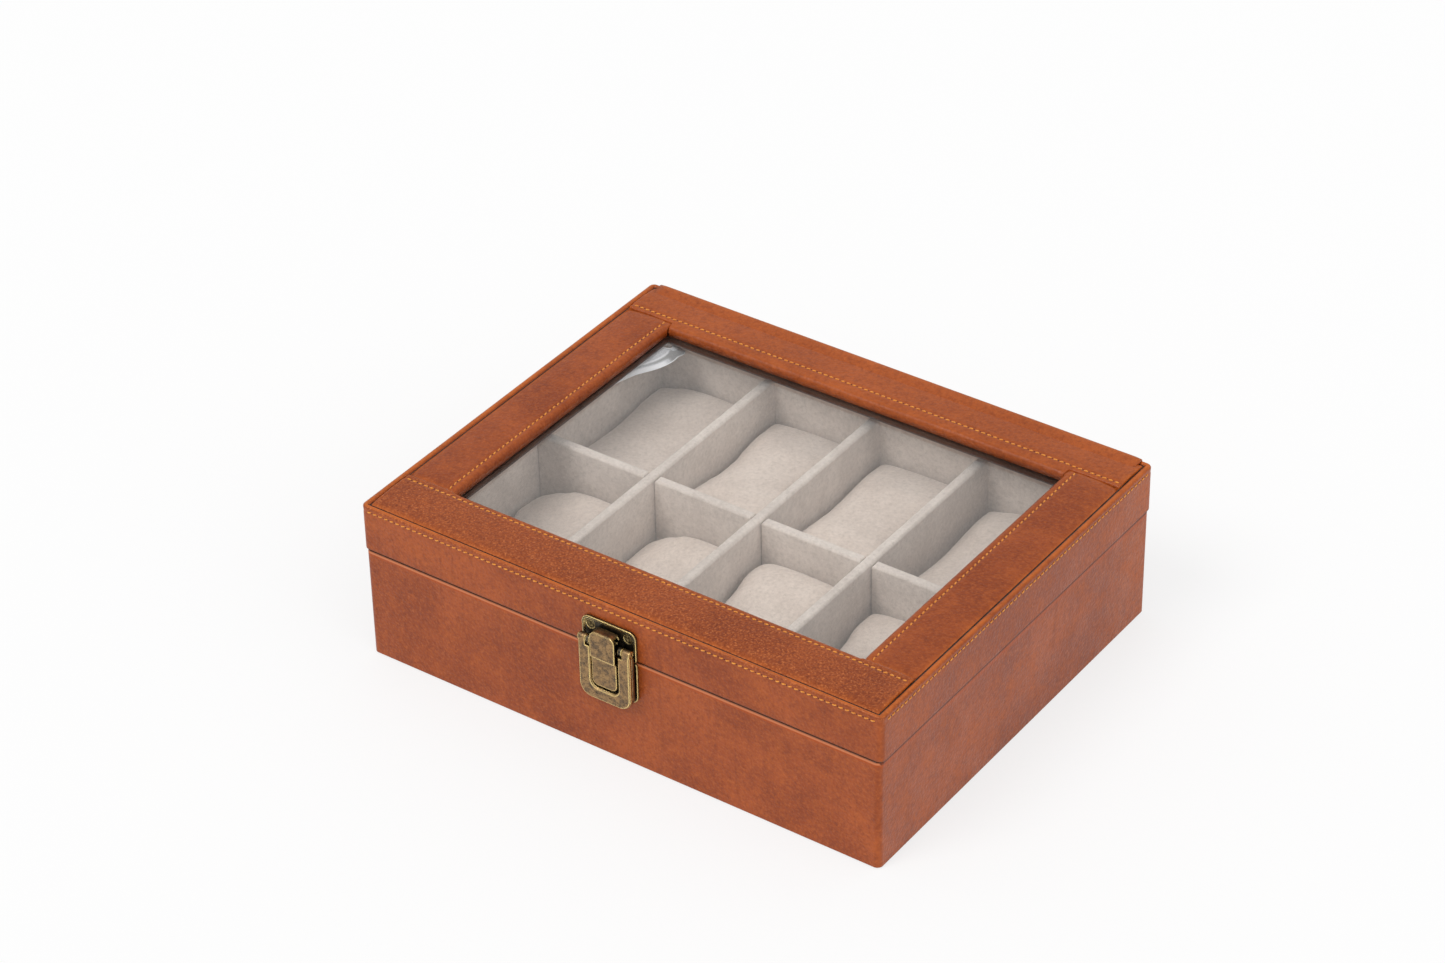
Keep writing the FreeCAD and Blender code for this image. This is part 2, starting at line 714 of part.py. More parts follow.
def latch_lever():
    """U-shaped lever: two arms hung on the pivots, inner flanges for the link pin, a finger lip below."""
    body = new_body("latch_lever")
    left = "latch_middle - lever_half"
    right = "latch_middle + lever_half"
    shape = front_sketch(body, "lever_back")
    in_left = "latch_middle - lever_window_half"
    in_right = "latch_middle + lever_window_half"
    outline(shape, [
        (f"{left} + lever_round", "lever_low"),
        (f"{right} - lever_round", "lever_low", "lever_round"),
        (right, "lever_low + lever_round"),
        (right, "pivot_high"),
        ("latch_middle + lever_knuckle_in", "pivot_high"),
        ("latch_middle + lever_knuckle_in", "lever_shoulder"),
        (in_right, "lever_shoulder"),
        (in_right, "lever_window_low + lever_window_round", "-lever_window_round"),
        (f"{in_right} - lever_window_round", "lever_window_low"),
        (f"{in_left} + lever_window_round", "lever_window_low", "-lever_window_round"),
        (in_left, "lever_window_low + lever_window_round"),
        (in_left, "lever_shoulder"),
        ("latch_middle - lever_knuckle_in", "lever_shoulder"),
        ("latch_middle - lever_knuckle_in", "pivot_high"),
        (left, "pivot_high"),
        (left, "lever_low + lever_round", "lever_round"),
    ])
    pad(body, shape, "lever_front - lever_back")
    front = -size("case_depth / 2 + lever_front")
    shoulder = size("lever_shoulder")
    round_edges(body, lambda edge: level(edge, "y", front) and edge.BoundBox.ZMin < shoulder - 1,
                "lever_edge", "Chamfer")
    for start in ("-lever_half", "lever_knuckle_in"):
        knuckle = side_sketch(body, start)
        circle(knuckle, ahead("pivot_out"), "pivot_high", "pivot_knuckle")
        pad(body, knuckle, "lever_half - lever_knuckle_in")
    for start in ("-(lever_window_half + lever_flange)", "lever_window_half"):
        flange = side_sketch(body, start)
        outline(flange, [
            (ahead("lever_back + 0.3"), "link_high - 6"),
            (ahead("lever_flange_back + 1"), "link_high - 6"),
            (ahead("lever_flange_back"), "link_high - 4"),
            (ahead("lever_flange_back"), "link_high + 1.4"),
            (ahead("lever_flange_back + 0.8"), "link_high + 2.2"),
            (ahead("lever_back + 0.3"), "link_high + 2.2"),
        ])
        pad(body, flange, "lever_flange")
    for out, high, radius in (("pivot_out", "pivot_high", "pivot_pin + running_gap"),
                              ("link_out", "link_high", "link_pin")):
        bore = side_sketch(body, "lever_half")
        circle(bore, ahead(out), high, radius)
        pocket(body, bore, "lever_half * 2")


def latch_hook():
    """Bent strip: an eye on the link pin, a stepped face and a lip that drops behind the strike's tab."""
    body = new_body("latch_hook")
    raised_front = "hook_front + hook_rise"
    raised_back = "hook_back + hook_rise"
    strip = side_sketch(body, "-hook_half")
    outline(strip, [
        (ahead("hook_front"), "hook_low"),
        (ahead("hook_back"), "hook_low"),
        (ahead("hook_back"), "hook_step"),
        (ahead(raised_back), "hook_step + hook_rise"),
        (ahead(raised_back), "hook_top - hook_sheet"),
        (ahead("hook_lip_front"), "hook_top - hook_sheet"),
        (ahead("hook_lip_front"), "hook_lip_low"),
        (ahead("hook_lip_back"), "hook_lip_low"),
        (ahead("hook_lip_back"), "hook_top"),
        (ahead(f"{raised_front} - hook_sheet"), "hook_top", "hook_sheet"),
        (ahead(raised_front), "hook_top - hook_sheet"),
        (ahead(raised_front), "hook_step + hook_rise - 0.4"),
        (ahead("hook_front"), "hook_step - 0.4"),
    ])
    pad(body, strip, "hook_half * 2")
    trim = front_sketch(body, f"{raised_front} + 1")
    outline(trim, rectangle(("latch_middle - hook_half - 1", "latch_middle + hook_half + 1"),
                            ("hook_low - 1", "hook_top + 1")))
    outline(trim, plate_outline("hook_half", "hook_low", "hook_top", "hook_corner", "hook_corner"))
    pocket(body, trim, f"{raised_front} + 1")
    eye = side_sketch(body, "-(hook_half - 0.4)")
    circle(eye, ahead("link_out"), "link_high", "hook_eye")
    pad(body, eye, "(hook_half - 0.4) * 2")
    bore = side_sketch(body, "hook_half")
    circle(bore, ahead("link_out"), "link_high", "link_pin + running_gap")
    pocket(body, bore, "hook_half * 2")


def latch_pins():
    """Two short pivots in the ears and the link pin across the lever's window."""
    y = ahead("pivot_out")
    pivots = [rod("pivot_left", "pivot_pin", "latch_middle - lever_half", "latch_middle - ear_in", y, "pivot_high"),
              rod("pivot_right", "pivot_pin", "latch_middle + ear_in", "latch_middle + lever_half", y, "pivot_high")]
    piece(join("Compound", "pivots", pivots), "latch_pivot_pins")
    reach = "(lever_window_half + lever_flange)"
    piece(rod("link", "link_pin", f"latch_middle - {reach}", f"latch_middle + {reach}", ahead("link_out"),
              "link_high"), "latch_link_pin")


def screw(name, x, y, z, turn):
    """A countersunk screw whose head faces along Z before it is turned about X."""
    head = doc.addObject("Part::Cone", f"{name}_head")
    bind(head, "Radius1", "screw_shank")
    bind(head, "Radius2", "screw_head")
    bind(head, "Height", "screw_sink")
    head.Placement = Placement(Vector(0, 0, -size("screw_sink")), Rotation())
    bind(head, "Placement.Base.z", "-screw_sink")
    shank = doc.addObject("Part::Cylinder", f"{name}_shank")
    bind(shank, "Radius", "screw_shank")
    bind(shank, "Height", "screw_length - screw_sink")
    bind(shank, "Placement.Base.z", "-screw_length")
    whole = join("MultiFuse", name, [head, shank])
    whole.Placement = Placement(Vector(), Rotation(Vector(1, 0, 0), turn))
    for axis, text in zip("xyz", (x, y, z)):
        bind(whole, f"Placement.Base.{axis}", text)
    return whole


def screw_group(label, places, y, turn):
    group = [screw(f"{label}_{index}", x, y, z, turn) for index, (x, z) in enumerate(places)]
    piece(join("Compound", f"{label}_group", group), label)


def hinge_places(side):
    """Screw centres of one row of hinge leaves: side is -1 on the base and 1 on the lid."""
    height = f"base_top + lid_gap / 2 + {side} * hinge_screw_reach"
    return [(f"hinge_place * {hinge} + hinge_screw_out * {end}", height)
            for hinge in (-1, 1) for end in (-1, 1)]


def hinge_leaf(name, middle, side):
    """One leaf with its knuckles: the base leaf carries the outer two, the lid leaf the one between."""
    axis_y = "case_depth / 2 + hinge_axis_out"
    axis_z = "base_top + lid_gap / 2"
    face = ("case_depth / 2", "case_depth / 2 + hinge_leaf")
    start = f"{middle} - hinge_half"
    end = f"{middle} + hinge_half"
    inner = "hinge_middle_half" if side > 0 else "hinge_middle_half + hinge_side_gap"
    knuckles = [(f"{middle} - ({inner})", f"{middle} + {inner}")]
    if side < 0:
        knuckles = [(start, f"{middle} - ({inner})"), (f"{middle} + {inner}", end)]
    reach = sorted((f"{axis_z} + {side} * hinge_clear", f"{axis_z} + {side} * hinge_reach"), key=size)
    parts = [box(f"{name}_plate", (start, end), face, tuple(reach))]
    web = sorted((axis_z, f"{axis_z} + {side} * hinge_clear"), key=size)
    for index, (low, high) in enumerate(knuckles):
        parts.append(rod(f"{name}_knuckle_{index}", "hinge_knuckle", low, high, axis_y, axis_z))
        web_face = (f"{axis_y} - hinge_knuckle", f"{axis_y} - hinge_knuckle + hinge_leaf * 0.9")
        parts.append(box(f"{name}_web_{index}", (low, high), web_face, tuple(web)))
    solid = join("MultiFuse", f"{name}_solid", parts)
    gap = "0" if side < 0 else "running_gap"
    bore = rod(f"{name}_bore", f"hinge_pin + {gap}", start, end, axis_y, axis_z)
    leaf = cut(f"{name}_leaf", solid, bore)
    holes = [screw(f"{name}_hole_{index}", x, "case_depth / 2 + hinge_leaf", z, -90)
             for index, (x, z) in enumerate(hinge_places(side)) if abs(size(x) - size(middle)) < size("hinge_half")]
    return cut(name, leaf, join("Compound", f"{name}_holes", holes))


def hinges():
    axis_y = "case_depth / 2 + hinge_axis_out"
    axis_z = "base_top + lid_gap / 2"
    for side, label in ((-1, "hinge_base_leaves"), (1, "hinge_lid_leaves")):
        leaves = [hinge_leaf(f"{label}_{index}", f"hinge_place * {place}", side)
                  for index, place in enumerate((-1, 1))]
        piece(join("Compound", f"{label}_group", leaves), label)
    pins = [rod(f"hinge_pin_{index}", "hinge_pin", f"hinge_place * {place} - hinge_half",
                f"hinge_place * {place} + hinge_half", axis_y, axis_z) for index, place in enumerate((-1, 1))]
    piece(join("Compound", "hinge_pin_group", pins), "hinge_pins")


def stay_ribbon():
    """Satin ribbon on edge: it leaves the tray wall, turns in a hairpin and ends under a glass retainer."""
    top = f"{GLASS_LOW} - retainer"
    wall = -size("tray_half_length")
    half = size("ribbon_sheet / 2")
    turn = size("ribbon_turn")
    start = Vector(wall + half, size("ribbon_start"), 0)
    tip = Vector(wall + size("ribbon_tip_in"), size("ribbon_tip_along"), 0)
    end = Vector(wall + size("ribbon_end_in"), size("ribbon_end_along"), 0)
    crest = (tip - (start + end) / 2).normalize()
    sides = []
    for reach in (half, -half):
        away = [touch_direction(start, tip, turn, 1), touch_direction(end, tip, turn, -1)]
        touch = [tip + side * (turn + reach) for side in away]
        sides.append((start + away[0] * reach, touch[0], tip + crest * (turn + reach), touch[1],
                      end + away[1] * reach))
    outer, inner = sides
    edges = [Part.LineSegment(outer[0], outer[1]), Part.Arc(*outer[1:4]), Part.LineSegment(outer[3], outer[4]),
             Part.LineSegment(outer[4], inner[4]), Part.LineSegment(inner[4], inner[3]), Part.Arc(*inner[3:0:-1]),
             Part.LineSegment(inner[1], inner[0]), Part.LineSegment(inner[0], outer[0])]
    strip = Part.Face(Part.Wire([edge.toShape() for edge in edges]))
    ribbon = doc.addObject("Part::Feature", "stay_ribbon")
    ribbon.Shape = strip.extrude(Vector(0, 0, size(top) - size("ribbon_low")))
    ribbon.Placement = Placement(Vector(0, 0, size("ribbon_low")), Rotation())
    piece(ribbon, "stay_ribbon")


def touch_direction(spot, centre, radius, side):
    """Direction from a circle's centre to where a line from the spot touches it."""
    reach = spot - centre
    angle = math.degrees(math.acos(radius / reach.Length))
    return Rotation(Vector(0, 0, 1), angle * side).multVec(reach.normalize())


base_carcass()
base_leather()
tray()
dividers()
cushions()
lid_carcass()
lid_side_band()
lid_back_band()
top_panels()
strike_plate()
latch_base_plate()
latch_lever()
latch_hook()
latch_pins()
screw_group("strike_screws", strike_places(), ahead("strike_sheet - strike_recess"), 90)
screw_group("latch_plate_screws", plate_places(), ahead("plate_sheet"), 90)
screw_group("hinge_base_screws", hinge_places(-1), "case_depth / 2 + hinge_leaf", -90)
screw_group("hinge_lid_screws", hinge_places(1), "case_depth / 2 + hinge_leaf", -90)
hinges()
stay_ribbon()

doc.recompute()
faults = [item.Label for item in doc.Objects if {"Invalid", "Error"} & set(item.State)]
faults += [item.Label for item in pieces if item.Shape.isNull() or not item.Shape.isValid()]
if faults:
    raise RuntimeError(f"failed objects: {faults}")
os.makedirs("parts", exist_ok=True)
for item in pieces:
    item.Shape.exportStep(f"parts/{item.Label}.step")
print(len(pieces), "sub-parts written")
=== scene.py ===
import math

import bmesh
import bpy
from mathutils import Euler, Matrix, Vector, noise


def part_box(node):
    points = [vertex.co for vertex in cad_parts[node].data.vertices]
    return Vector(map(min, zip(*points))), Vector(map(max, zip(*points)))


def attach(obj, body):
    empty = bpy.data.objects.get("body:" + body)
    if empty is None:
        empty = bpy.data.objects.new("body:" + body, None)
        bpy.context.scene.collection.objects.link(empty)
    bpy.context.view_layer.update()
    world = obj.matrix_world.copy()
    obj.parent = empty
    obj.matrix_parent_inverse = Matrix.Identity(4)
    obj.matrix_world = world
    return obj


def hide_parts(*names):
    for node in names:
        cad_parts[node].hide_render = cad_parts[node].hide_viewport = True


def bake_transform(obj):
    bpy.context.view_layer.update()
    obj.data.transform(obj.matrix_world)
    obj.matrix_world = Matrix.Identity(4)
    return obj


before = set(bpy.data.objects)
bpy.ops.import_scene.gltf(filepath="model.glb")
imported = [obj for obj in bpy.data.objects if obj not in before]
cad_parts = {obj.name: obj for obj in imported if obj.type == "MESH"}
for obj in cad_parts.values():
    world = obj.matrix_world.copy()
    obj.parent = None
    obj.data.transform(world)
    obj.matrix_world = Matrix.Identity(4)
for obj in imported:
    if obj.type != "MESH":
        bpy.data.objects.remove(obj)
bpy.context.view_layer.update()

# Lengths below are in millimetres and become metres when a mesh is made.
MM = 0.001
ALONG_X = Vector((1, 0, 0))
ALONG_Y = Vector((0, 1, 0))
UPWARD = Vector((0, 0, 1))

# Studio: share of the floor shown as pure white, level of the light from all round, and lamps
# as name, strength, width in degrees and turn in degrees
FLOOR_GLOW = 0.72
FLOOR_REACH = 12.0
WORLD_LIGHT = 0.64
LAMPS = (("key", 1.1, 28, (38, 0, -20)), ("side", 0.55, 60, (52, 0, 75)))
WHITE = (1.0, 1.0, 1.0, 1.0)

# Camera, fitted to the case's edges: place in metres, then turns in degrees, the last one first
CAMERA_LENS = 102.15
CAMERA_SENSOR = 36.0
CAMERA_FAR = 60.0
CAMERA_PLACE = (0.933867, -1.327230, 1.224943)
CAMERA_TURNS = ((35.7435, "Z"), (55.0489, "X"), (-1.1888, "Z"))

# Lid leather, as the CAD has it, then its roll, its crown and the tuck of the side panels' ends
LIP_INSIDE_X = 146.0
LIP_INSIDE_Y = 116.8
WINDOW_X = 118.0
WINDOW_FRONT = -87.0
WINDOW_BACK = 89.0
BACK_FREE_EDGE = 94.0
RAIL_TOP = 87.7
GLASS_TOP = 84.0
LID_TOP = 89.0
PANEL_EDGE_TOP = 88.45
LEATHER = 1.3
ROLL = 2.6
CROWN_RISE = 0.5
PROUD = 0.2
TUCK = 0.75
TUCK_REACH = 2.4
HAIR = 0.04

# A panel's section: the step at its outer edge, the shoulder there, a painted highlight along that edge,
# wear and painted highlight at the fold, painted light fading to painted shade down its roll, and the
# wrinkles of its roll
EDGE_STEP = 0.25
SHOULDER_DROP = 0.85
SHOULDER_REACH = 0.8
EDGE_HIGHLIGHT = 0.75
EDGE_HIGHLIGHT_REACH = 0.9
FOLD_WEAR_AND_HIGHLIGHT = 0.2
FOLD_WEAR_AND_HIGHLIGHT_REACH = 1.6
ROLL_WEAR_AND_LIGHT = 0.25
ROLL_SHADE = 0.45
WRINKLE = 0.16
PANEL_SWELL = 0.14
WINDOW_EASE = (-0.2, 0.4)

# A panel's ends: rows close to the end, how far the end drops, and its wear
END_ROWS = (0.0, 0.15, 0.5)
END_MARGIN = 1.0
END_DROP = 0.5
END_REACH = 0.9
END_WEAR = 0.6
ROWS_PER_STITCH = 6

# The groove that the stitches pull: its depth, its beat, its half width, and the ridges beside it
GROOVE_DEPTH = 0.26
GROOVE_BEAT = 0.08
GROOVE_HALF = 0.75
RIDGE_RISE = 0.10
RIDGE_AWAY = 2.1
RIDGE_HALF = 1.3

# Sewing: the stitches, their slant and how deep their ends dive
STITCH_PITCH = 3.45
# Length, width and thickness of a stitch, and of the dark mark of painted shade for the needle hole after
# it
STITCH_SIZE = (2.7, 0.85, 0.6)
HOLE_SIZE = (1.0, 0.65, 0.25)
STITCH_LIFT = 0.2
HOLE_LIFT = 0.03
STITCH_RINGS = 7
STITCH_SIDES = 8
STITCH_SLANT = 0.24
SLANT_PLAY = 0.05
STITCH_DIVE = 0.30
STITCH_TIP = 0.12
PANEL_SEAM_INSET = 0.3
SIDE_SEAM_INSET = 0.5
FRONT_STITCH = -90.9
BACK_STITCH = 96.7
SIDE_STITCH = 122.4

# The band round the lid's sides, its seam, its bead, and the hide at the back
BAND_SEAM_X = 147
BAND_SEAM_Y = 117
BAND_PULL = 0.14
BAND_STITCH_HIGH = 85.7
BAND_SIDE = 150.0
BAND_DEPTH = 120.0
BAND_LOW = 62.95
BAND_STEPS = 22
BAND_LIP = 0.5
BAND_GROOVE = 0.18
BAND_GROOVE_HALF = 0.7
BAND_RIPPLE = 0.07
BAND_ROWS_PER_STITCH = 3
BACK_BAND_END = 143.8
CORNER = 3.0
CORNER_TURNS = 6
BEAD_MIDDLE = 87.6
BEAD_RISE = 1.2
BEAD_HALF = 1.2
SIDE_BEAD_HALF = 1.6
BEAD_STEPS = 10
BEAD_SWAY = 0.06
# The bead's crest: wear with a painted highlight.
BEAD_WEAR_AND_HIGHLIGHT = 0.8
BACK_TOP = 90.3
BACK_ROWS = 90
BACK_SWAY = 0.06
BACK_END_DROP = 0.35
BACK_END_REACH = 1.2
# Round the section of the hide at the lid's back: Y, Z, wear and painted light, which is painted shade at
# the seam over the base
BACK_PROFILE = [(118.7, 62.95, -1.0), (119.8, 62.95, -0.5), (120.0, 63.3, 0.2), (120.0, 75.0, 0.0),
                (120.0, 88.6, 0.0), (119.85, 89.5, 0.3), (119.4, 90.05, 0.5), (118.7, 90.25, 0.4),
                (117.6, 90.2, 0.2), (115.5, 89.85, 0.0), (112.5, 89.3, 0.0), (110.0, 88.3, 0.0),
                (117.3, 88.2, 0.0), (118.7, 87.8, 0.0)]

# Where the hide's colour changes, as spans in metres
BACK_PANEL_Y = (0.070, 0.105)
FRONT_PANEL_Y = (-0.084, -0.090)
FRONT_PANEL_Z = (0.0868, 0.0876)
CORNER_X = (0.1470, 0.1495)
CORNER_Y = (0.1170, 0.1198)
SIDE_X = (0.1480, 0.1488)
BASE_TOP_Z = (0.0627, 0.0626)
# The base's rim, burnished and with painted light; a painted highlight line; painted shadow in the seam
# under the lid
RIM_Z = (0.0592, 0.0606)
HIGHLIGHT_LINE_Z = (0.0608, 0.0611)
SEAM_SHADE_Z = (0.0617, 0.0622)
SIDE_RIM_DROP = 0.0012

# Cushions: their bed's height, the faces' size, where a form sets in from the bed and from the top,
# the fill at the waist, and the cloth that swells them
CUSHION_BED = 8.0
CUSHION_VOXEL = 4.5
CUSHION_SHRINK = 1.2
CUSHION_RISE = (6, 4)
WAIST_FILL = 1.8
SWELL_CAP = 2.0
SWELL_FRAMES = 20
SWELL_PRESSURE = 4.0
SWELL_STIFFNESS = 12
SWELL_BENDING = 1.0
# Lean across the case, extra doming, extra dip and extra height at the back of each cushion
CUSHION_FORMS = {
    "cushion_front_1": (6.0, 3.0, -2.5, 0.0),
    "cushion_front_2": (5.0, 3.0, -2.5, 0.0),
    "cushion_front_3": (0.5, -1.5, -4.0, 4.5),
    "cushion_front_4": (-1.0, 0.0, -2.0, 0.5),
    "cushion_back_1": (2.0, 0.5, -5.5, 0.0),
    "cushion_back_2": (1.0, -3.0, -7.0, 0.0),
    "cushion_back_3": (1.0, -3.0, -6.5, 0.0),
    "cushion_back_4": (3.5, -1.0, -4.5, 0.5),
}

# Stay ribbon: its heights, its way in X and Y, its lean in degrees at the ends and the tip, its folds,
# and the painted highlight on its edges and on the crease that climbs it
RIBBON_LOW = 66.1
RIBBON_TOP = 77.7
RIBBON_SHEET = 0.35
RIBBON_ROUTE = [(-133.1, 52.0), (-126.8, 56.0), (-119.8, 65.5), (-113.0, 75.0), (-110.6, 84.0),
                (-112.4, 90.4), (-117.4, 91.2), (-123.0, 85.6), (-129.0, 79.0)]
RIBBON_STEPS = 8
RIBBON_ROWS = 31
RIBBON_LEAN = (20.0, 62.0)
RIBBON_LIFT = 3.0
RIBBON_CUP = 0.5
TIP_SINK = 0.8
NEAR_SHIFT = 5.2
FAR_SHIFT = 3.5
SELVEDGE = 0.04
SELVEDGE_GLEAM = 0.9
CREASE_START = 0.28
CREASE_CLIMB = 0.45
CREASE_HALF = 0.045

# Latch lever, as the CAD has it, and the section of its bent sides: inward, then out from the case
CASE_FRONT = 120.0
LATCH_MIDDLE = -1.0
LEVER_HALF = 14.85
LEVER_LOW = 36.45
LEVER_ROUND = 7.0
LEVER_TURNS = 10
SKIRT_HIGH = 66.8
SKIRT_PROFILE = [(0.0, 4.9), (0.0, 2.5), (0.3, 2.2), (0.8, 2.2), (1.1, 2.5), (1.1, 4.9)]

# Screws: the head's mesh and turn in radians, the slot's half width and reach in radii, and depths
SCREW_RINGS = 9
SCREW_SIDES = 40
SCREW_TURN = 0.5
SCREW_TURN_STEP = 0.9
SLOT_HALF = 0.2
SLOT_REACH = 0.66
SLOT_DEPTH = 0.55
HEAD_DISH = 0.10


def srgb(red, green, blue):
    """Scene-linear colour for a colour given as it looks on a screen, 0 to 255."""
    shares = [value / 255 for value in (red, green, blue)]
    linear = [s / 12.92 if s <= 0.04045 else ((s + 0.055) / 1.055) ** 2.4 for s in shares]
    return (*linear, 1.0)


def node(tree, kind, inputs=None, **settings):
    """A new shader node; each input is a value or the socket that feeds it."""
    made = tree.nodes.new("ShaderNode" + kind)
    for key, value in settings.items():
        setattr(made, key, value)
    for key, value in (inputs or {}).items():
        if isinstance(value, bpy.types.NodeSocket):
            tree.links.new(value, made.inputs[key])
        else:
            made.inputs[key].default_value = value
    return made


def new_material(name, **values):
    """A Principled material and its node tree, coordinates and shader."""
    material = bpy.data.materials.new(name)
    material.use_nodes = True
    tree = material.node_tree
    shader = tree.nodes["Principled BSDF"]
    for key, value in values.items():
        shader.inputs[key.replace("_", " ")].default_value = value
    place = node(tree, "TexCoord").outputs["Object"]
    return material, tree, shader, place


def speckle(tree, place, scale, detail, rough, stretch=None):
    """Noise of about scale specks in a metre, stretched along the axes if asked."""
    vector = place
    if stretch:
        vector = node(tree, "Mapping", {"Vector": place, "Scale": stretch}).outputs[0]
    values = {"Vector": vector, "Scale": scale, "Detail": detail, "Roughness": rough}
    return node(tree, "TexNoise", values).outputs["Fac"]


def span(tree, value, low, high, to_low=0.0, to_high=1.0):
    """value eased from the span low..high to to_low..to_high."""
    inputs = {"Value": value, "From Min": low, "From Max": high, "To Min": to_low, "To Max": to_high}
    return node(tree, "MapRange", inputs, interpolation_type="SMOOTHSTEP").outputs[0]


def calc(tree, operation, first, second=0.0):
    """One sum on values or sockets."""
    made = node(tree, "Math", {0: first, 1: second}, operation=operation)
    return made.outputs[0]


def times(tree, first, second):
    return calc(tree, "MULTIPLY", first, second)


def tint(tree, share, first, second):
    """The first colour, with a share of the second."""
    return node(tree, "Mix", {0: share, 6: first, 7: second}, data_type="RGBA").outputs[2]


def paint(tree, shader, colour):
    tree.links.new(colour, shader.inputs["Base Color"])


def show_both(tree, share, first, second, end="Material Output"):
    """Shows the first shader with a share of the second."""
    both = node(tree, "MixShader", {0: share, 1: first.outputs[0], 2: second.outputs[0]})
    tree.links.new(both.outputs[0], tree.nodes[end].inputs["Surface"])


def ruffle(tree, shader, layers, normal=None):
    """Bump layers, each (height socket, strength, distance in mm), one on the other."""
    for height, strength, distance in layers:
        inputs = {"Height": height, "Strength": strength, "Distance": distance * MM}
        if normal:
            inputs["Normal"] = normal
        normal = node(tree, "Bump", inputs).outputs[0]
    tree.links.new(normal, shader.inputs["Normal"])


def edge_share(tree, radius, low, high):
    """The normal of a bevelled surface, and a share that is 1 on sharp edges and 0 on flats."""
    bevel = node(tree, "Bevel", {"Radius": radius * MM}, samples=6).outputs[0]
    plain = node(tree, "NewGeometry").outputs["Normal"]
    dot = node(tree, "VectorMath", {0: bevel, 1: plain}, operation="DOT_PRODUCT").outputs["Value"]
    return bevel, span(tree, calc(tree, "SUBTRACT", 1.0, dot), low, high)


def hide_colour(tree, place, axes, blotch, grain):
    """The hide's colour: clouds, blotches, a darker pored front panel with painted glints on its grain,
    streaks, and painted glints in fine light specks.
    """
    clouds = speckle(tree, place, 17, 4, 0.6)
    glint_specks = speckle(tree, place, 560, 5, 0.70)
    streak = speckle(tree, place, 240, 4, 0.6, stretch=(1.0, 1.0, 0.12))
    pores = speckle(tree, place, 950, 3, 0.6)
    colour = tint(tree, span(tree, clouds, 0.34, 0.68), srgb(138, 60, 20), srgb(166, 80, 34))
    colour = tint(tree, span(tree, blotch, 0.45, 0.75, 0.0, 0.45), colour, srgb(180, 92, 38))
    colour = tint(tree, span(tree, axes[1], *BACK_PANEL_Y, 0.0, 0.40), colour, srgb(186, 94, 38))
    front = times(tree, span(tree, axes[1], *FRONT_PANEL_Y), span(tree, axes[2], *FRONT_PANEL_Z))
    colour = tint(tree, times(tree, front, 0.35), colour, srgb(126, 52, 14))
    pits = times(tree, front, span(tree, pores, 0.48, 0.34, 0.0, 0.50))
    colour = tint(tree, pits, colour, srgb(92, 34, 8))
    # Painted glints on the front panel's raised grain.
    painted_glints = times(tree, front, span(tree, pores, 0.52, 0.68, 0.0, 0.60))
    colour = tint(tree, painted_glints, colour, srgb(218, 130, 70))
    colour = tint(tree, span(tree, streak, 0.50, 0.72, 0.0, 0.30), colour, srgb(118, 48, 16))
    colour = tint(tree, span(tree, grain, 0.42, 0.72, 0.0, 0.50), colour, srgb(108, 42, 12))
    # Painted glints: fine light specks over the hide.
    return tint(tree, span(tree, glint_specks, 0.44, 0.72, 0.0, 0.45), colour, srgb(192, 102, 44))


def wear_and_highlight_share(tree, axes, wear_and_painted_light, blotch):
    """How far the hide is made lighter: by wear and painted highlights where its wear value says so, and by
    wear at the case's corners.
    """
    wear_and_light = times(tree, wear_and_painted_light, span(tree, blotch, 0.30, 0.62, 0.35, 1.0))
    near_x = span(tree, calc(tree, "ABSOLUTE", axes[0]), *CORNER_X)
    near_y = span(tree, calc(tree, "ABSOLUTE", axes[1]), *CORNER_Y)
    corner = times(tree, times(tree, near_x, near_y), 0.12)
    return calc(tree, "MAXIMUM", wear_and_light, corner)


def rim_colour(tree, axes, colour):
    """The base's upper rim: an orange cut edge, burnished and with painted light on it, a painted highlight
    line in front, and the share of painted shadow in the seam under the lid.
    """
    sides = span(tree, calc(tree, "ABSOLUTE", axes[0]), *SIDE_X)
    high = calc(tree, "ADD", axes[2], times(tree, sides, SIDE_RIM_DROP))
    below = span(tree, axes[2], *BASE_TOP_Z)
    rim = times(tree, span(tree, high, *RIM_Z), below)
    # Orange burnished edge, which also stands in for the light it catches.
    colour = tint(tree, times(tree, rim, 0.85), colour, srgb(168, 72, 8))
    # Painted highlight: a thin light line along the front of the base's top edge.
    lit = times(tree, span(tree, high, *HIGHLIGHT_LINE_Z), times(tree, below, 0.55))
    lit = times(tree, lit, calc(tree, "SUBTRACT", 1.0, sides))
    colour = tint(tree, lit, colour, srgb(216, 140, 98))
    # Painted shadow in the gap under the lid's edge, a little weaker on the sides.
    seam_shade = times(tree, span(tree, high, *SEAM_SHADE_Z), below)
    seam_shade = times(tree, seam_shade, calc(tree, "SUBTRACT", 0.85, times(tree, sides, 0.25)))
    return colour, seam_shade


